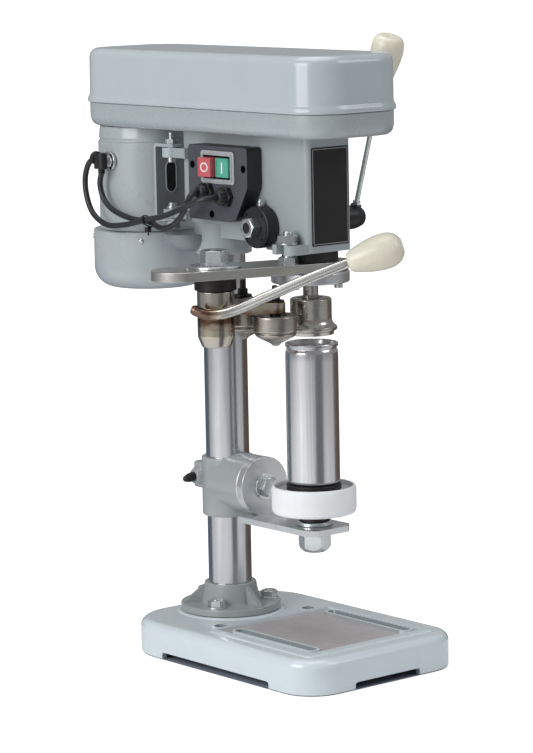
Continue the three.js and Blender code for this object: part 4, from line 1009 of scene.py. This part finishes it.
def make_lever():
    x, y = PIVOT
    body = "seaming_lever"
    bolt = join(hex_head(23.6, 389.0, 403.3, x, y, 14), drum(8.1, 350.2, 390, x, y, 0.3, 48))
    washer = spun([(0, 386.9), (24.4, 386.9, 0.4), (24.4, 388.9, 0.5), (0, 388.9)], x, y, 80)
    stand_in("pivot_bolt", join(bolt, washer), ZINC, body)
    collar = cut(drum(19.6, 366, 377.3, x, y, 0.7, 80), drum(8.4, 300, 400, x, y, 0, 48))
    stand_in("hub_collar", collar, BLACK_STEEL, body)
    hub = spun([(0, 312.8), (13, 312.8, 0.8), (14, 314.4, 1.0), (17.3, 322.5, 1.6), (17.3, 364.8, 0.5),
                (16.4, 365.7, 0.5), (0, 365.7)], x, y, 96, steps=5)
    for rx, ry in ROLLERS:
        arm = bevel(prism(bar(PIVOT, (rx, ry), 9.5, 24), 343.2, 353.3), 0.7, 3)
        fuse(hub, arm)
        cut(hub, drum(5.3, 330, 360, rx, ry, 0, 32))
    cut(hub, drum(8.4, 349.7, 420, x, y, 0, 48), tube(LEVER, 5.3, 20, 5))
    stand_in("lever_hub", hub, SCORCHED, body)
    stand_in("lever_rod", tube(LEVER, 5, 28, 12, True), TINTED_ROD, body)
    beads = []
    for i in range(15):
        t = i / 14
        at = Vector((-112.2 + 21.6 * t, -113 - 12.5 * t - 6.5 * math.sin(math.pi * t), 342.6 + 1.8 * t))
        beads.append(along(spun([(0, -1.5), (1.5, -1.1, 0.6), (1.9, 0.2, 0.8), (1.3, 1.2, 0.6), (0, 1.5)],
                                n=10), at, (0.8, -0.5, 0.2)))
    piece("weld_bead", join(*beads), SCORCHED, body)
    grip = [(0, 0.9), (7.6, 0.9, 0.8), (8.9, 2.2, 1.5), (11, 6, 4), (15, 19.5, 8), (16.9, 32, 8),
            (16.4, 42, 7), (13.2, 49, 6), (7.2, 53, 3), (4.2, 53.6, 0.8), (3.4, 52.6, 0.6), (2.8, 49, 0.5),
            (0, 48.5)]
    handle = along(spun(grip, n=96, steps=6), LEVER[-1], (39.7, -33, 15.5))
    stand_in("lever_handle", handle, IVORY, body)
    for i, (rx, ry) in enumerate(ROLLERS):
        axle = join(drum(5, 326.9, 354.3, rx, ry, 0.2, 40), hex_head(8.4, 355.2, 360.8, rx, ry, 12),
                    spun([(0, 353.7), (8.6, 353.7, 0.3), (8.6, 355.2, 0.3), (0, 355.2)], rx, ry, 48),
                    spun([(0, 360), (2.8, 360), (2.8, 368, 0.3), (2.0, 369, 0.5), (0, 369)], rx, ry, 32))
        stand_in(f"roller_axle_{i + 1}", axle, BLACK_STEEL, body)
        profile = [(0, 312.5), (3.2, 312.7, 0.6), (4.6, 314.5, 1), (6.5, 315.6, 1.5), (17.5, 321.2, 2),
                   (19.4, 323.4, 1), (19.6, 324.4, 0.3), (18.6, 325.0, 0.2), (18.6, 325.8, 0.2),
                   (20.8, 326.6, 0.6), (21.3, 327.6, 0.6), (21.3, 340.4, 0.7), (20.4, 341.5, 0.6),
                   (15.2, 341.5, 0.4), (14.6, 339.5, 0.3), (5.3, 339.5), (5.3, 326.6), (0, 326.6)]
        roller = spun(profile, rx, ry, 96)
        stand_in(f"seaming_roller_{i + 1}", roller, TURNED_STEEL, f"roller_{i + 1}")


make_lever()


# ---------------------------------------------------------------- table bracket, arm and platform
def make_table():
    z = 162.5
    bracket = spun([(0, 128.3), (25.6, 128.3, 1.6), (25.6, 186, 1.6), (0, 186)], 0, 0, 96)
    boss = along(spun([(0, 0), (28.3, 0), (28.3, 46.6, 0.4), (27.6, 47.4, 0.4), (0, 47.4)], n=96),
                 (0, -0.2, z), TO_FRONT)
    lug = bevel(prism(rounded_rect(-11, 11, 14, 42, 4), z - 12, z + 14), 2, 3)
    spout = along(spun([(0, 0), (10.5, 0), (6.8, 6.1, 1), (0, 6.3)], n=48), (-10.8, 33, z), TO_LEFT)
    fuse(bracket, boss, lug, spout)
    bevel(bracket, 1.4, 3, 50)
    cut(bracket, drum(21.35, 100, 220, 0, 0, 0, 96),
        prism([(-1.5, 15), (1.5, 15), (1.5, 50), (-1.5, 50)], 100, 220),
        along(drum(4.3, 0, 40, 0, 0, 0, 24), (-20, 33, z), TO_X),
        along(drum(6.3, 0, 30, 0, 0, 0, 32), (0, -30, z), TO_FRONT))
    made = stand_in("table_bracket", bracket, CAST_PAINT, "table")
    paint_faces(made, ALUMINIUM, lambda c, n: c.y < -43.2)
    screw = along(drum(3.9, 0, 34, 0, 0, 0.5, 32), (-18, 33, z), TO_X)
    grip = along(spun([(0, 0), (4.7, 0, 0.5), (4.6, 5, 2), (2.6, 11, 1.4), (0, 12.1)], n=32), (-18, 33, z),
                 (-12, 0, -1.5))
    stand_in("table_clamp_handle", join(screw, grip), BLACK_PLASTIC, "table_clamp")
    disc = along(spun([(0, 0), (28.5, 0, 0.5), (28.5, 8.1, 0.7), (0, 8.1)], n=112), (0, -47.9, z), TO_FRONT)
    front = prism([(-27, -48), (-27, -149), (-19, -157), (18, -157), (27, -148), (27, -48)], 129.5, 135.2)
    arm = bevel(fuse(disc, cut(front, prism([(-40, -47.9), (40, -47.9), (40, 0), (-40, 0)], 100, 200))),
                0.8, 3, 45)
    cut(arm, along(drum(6.3, -5, 30, 0, 0, 0, 32), (0, -40, z), TO_FRONT),
        drum(7.3, 120, 140, *SPINDLE, 0, 48))
    stand_in("table_arm", arm, ALUMINIUM, "table_tilt")
    bolt = join(along(hex_head(18, 0, 7.0, 0, 0, 5), (0, -58.6, z), TO_FRONT),
                along(drum(12.8, 0, 2.2, 0, 0, 0.4, 64), (0, -56.4, z), TO_FRONT),
                along(drum(6, 0, 24, 0, 0, 0.4, 40), (0, -34, z), TO_FRONT))
    stand_in("arm_pivot_bolt", bolt, ZINC, "table_tilt")


def make_platform():
    x, y = SPINDLE
    head = prism(hexagon(27, x, y, 11), 109.5, 129.2)
    crown = spun([(0, 109.5), (10.4, 109.5, 1), (14.3, 113, 2), (16.2, 117.5, 2), (16.2, 129.2),
                  (0, 129.2)], x, y, 64)
    combine(head, [crown], "INTERSECT")
    bevel(head, 0.5, 3, 35)
    lower = spun([(0, 135.5), (17, 135.5, 0.5), (17, 138.6, 0.7), (15.6, 139.4, 0.4), (0, 139.4)], x, y, 80)
    stand_in("platform_bolt", join(head, drum(7, 120, 165, x, y, 0.5, 48), lower), ZINC, "table_tilt")
    race = cut(spun([(0, 139.7), (14.6, 139.7, 0.3), (14.6, 142.4, 0.3), (13.4, 143, 0.2),
                     (13.4, 144, 0.2), (14.6, 144.6, 0.3), (14.6, 146.8, 0.3), (0, 146.8)], x, y, 80),
               drum(7.3, 100, 200, x, y, 0, 48))
    stand_in("platform_bearing", race, BLACK_STEEL, "platform")
    cup = spun([(7.3, 147.1), (37.2, 147.1, 1), (39.4, 148.3, 1.2), (40.2, 151.1, 1.4), (40.2, 171, 1.4),
                (39.0, 173.3, 0.8), (37.8, 173.7, 0.4), (37, 173.0, 0.3), (37, 169.6), (7.3, 169.6)], x, y,
               128, steps=5)
    made = stand_in("platform_cup", cup, WHITE_PLASTIC, "platform")
    paint_faces(made, CUP_FLOOR, lambda c, n: n.z > 0.8 and abs(c.z - 169.6) < 0.3)
    pad = spun([(0, 169.9), (26, 169.9, 0.4), (26, 174.6, 0.6), (25.4, 175.2, 0.6), (0, 175.2)], x, y, 96)
    stand_in("rubber_pad", pad, RUBBER, "platform")
    wall = [(0, 180), (12, 179.4, 2), (18, 177.8, 1.5), (19.6, 175.9, 0.5), (20.6, 175.5, 0.4),
            (22.6, 175.5, 0.3), (23.4, 175.8, 0.4), (24.6, 177.4, 0.6), (25, 179, 0.8), (25, 296, 2),
            (24.8, 301.5, 2), (24.1, 303.4, 1), (23.6, 304.3, 0.5), (23.6, 305.2, 0.5), (24.6, 306, 0.4),
            (25.1, 306.6, 0.4), (25.1, 308.9, 0.5), (24.6, 309.6, 0.4), (23.9, 309.7, 0.4),
            (23.3, 309.2, 0.5), (22.7, 304.6, 0.6), (21.9, 304.0, 0.5), (21.1, 304.3, 0.5),
            (20.6, 305.2, 0.5), (19.6, 305.4, 0.4), (0, 305.4)]
    can = spun(wall, x, y, 128)
    ring = cut(prism(bar((x - 2, y + 1), (x + 5, y - 4), 5.2, 16), 305.5, 306.5),
               prism(bar((x + 2.5, y - 2.2), (x + 5.4, y - 4.3), 2.9, 12), 300, 310))
    tab = bevel(ring, 0.3, 2)
    rivet = spun([(0, 305), (2.2, 305, 0.3), (1.9, 307.1, 0.4), (0, 307.1)], x, y, 24)
    panel = cut(turned([(0, 305.1), (15.6, 305.1), (15.0, 305.75), (0, 305.75)], x, y, 96),
                drum(14.4, 300, 310, x, y, 0, 96))
    stand_in("slim_can", join(can, tab, rivet, panel), CAN_METAL, "platform")


make_table()
make_platform()


# ---------------------------------------------------------------- floor, light and view
def make_studio():
    world = bpy.data.worlds.new("studio")
    bpy.context.scene.world = world
    world.use_nodes = True
    tree = world.node_tree
    tree.nodes["Background"].inputs["Color"].default_value = (1, 1, 1, 1)
    path = tree.nodes.new("ShaderNodeLightPath")
    strength = tree.nodes.new("ShaderNodeMapRange")
    strength.inputs["To Min"].default_value = 0.26
    strength.inputs["To Max"].default_value = 1.0
    tree.links.new(path.outputs["Is Camera Ray"], strength.inputs["Value"])
    tree.links.new(strength.outputs["Result"], tree.nodes["Background"].inputs["Strength"])

    def quad(name, centre, facing, width, height):
        turn = Vector(facing).to_track_quat("Z", "Y").to_matrix()
        corners = [Vector(centre) + turn @ Vector((sx * width / 2, sy * height / 2, 0))
                   for sx, sy in ((-1, -1), (1, -1), (1, 1), (-1, 1))]
        mesh = bpy.data.meshes.new(name)
        mesh.from_pydata(corners, [], [(0, 1, 2, 3)])
        obj = placed(name, mesh)
        return obj

    floor = quad("floor", (0, 0, -0.0006), (0, 0, 1), 60, 60)
    n = Nodes("floor")
    n.shader.inputs["Emission Color"].default_value = (1, 1, 1, 1)
    glow = n.new("ShaderNodeMath", operation="MULTIPLY")
    n.tree.links.new(n.new("ShaderNodeLightPath").outputs["Is Camera Ray"], glow.inputs[0])
    far = n.new("ShaderNodeVectorMath", operation="LENGTH")
    n.tree.links.new(n.where.outputs["Object"], far.inputs[0])
    n.tree.links.new(n.span(far.outputs["Value"], 0.6, 1.0, 0.6, 3.0), glow.inputs[1])
    pale = n.blend(n.noise((3, 3, 3)), (0.90, 0.905, 0.91), (0.92, 0.925, 0.93))
    floor.data.materials.append(n.set(color=pale, rough=0.8, spec=0.2, glow=glow.outputs["Value"]))
    # the floor stays dark under the hollow base
    shadow = prism(rounded_rect(-95.5, 95.5, -229.5, 52.5, 34.5, 50.5), -0.5, -0.2)
    shadow.name = "base_shadow"
    shadow.data.transform(SETTLE)
    shadow.data.materials.append(Nodes("base_shadow").set(color=(0.30, 0.34, 0.42), rough=1.0, spec=0.0))
    # dark sheets that rise gently outwards, seen only as reflections in the bare metal
    cards = (("card_rear", 50, 122, (0.14, 0.18, 0.23)), ("card_front", 246, 277, (0.16, 0.17, 0.19)),
             ("card_right", 328, 410, (0.16, 0.125, 0.105)))
    for name, start, stop, colour in cards:
        rim = []
        for reach, z in ((0.25, 0.002), (1.5, 0.22)):
            rim.append([(*polar(reach, start + (stop - start) * i / 8), z) for i in range(9)])
        mesh = bpy.data.meshes.new(name)
        mesh.from_pydata(rim[0] + rim[1], [], [(i, i + 1, i + 10, i + 9) for i in range(8)])
        card = placed(name, mesh)
        card.data.materials.append(Nodes(name).set(color=colour, rough=1.0, spec=0.0))
        card.visible_camera = False
        card.visible_shadow = False
        card.visible_diffuse = False
    lamps = (("key", (-1.75, -0.1, 1.0), 1.2, 21), ("fill", (1.0, -1.45, 1.6), 0.9, 8),
             ("top", (0.0, 0.1, 2.2), 1.6, 19))
    for name, spot, size, power in lamps:
        light = bpy.data.lights.new(name, "AREA")
        light.size = size
        light.energy = power
        obj = placed(name, light)
        obj.location = spot
        obj.rotation_euler = (Vector((0, -0.05, 0.3)) - Vector(spot)).to_track_quat("-Z", "Y").to_euler()
    bpy.context.scene.view_settings.view_transform = "Standard"


make_studio()
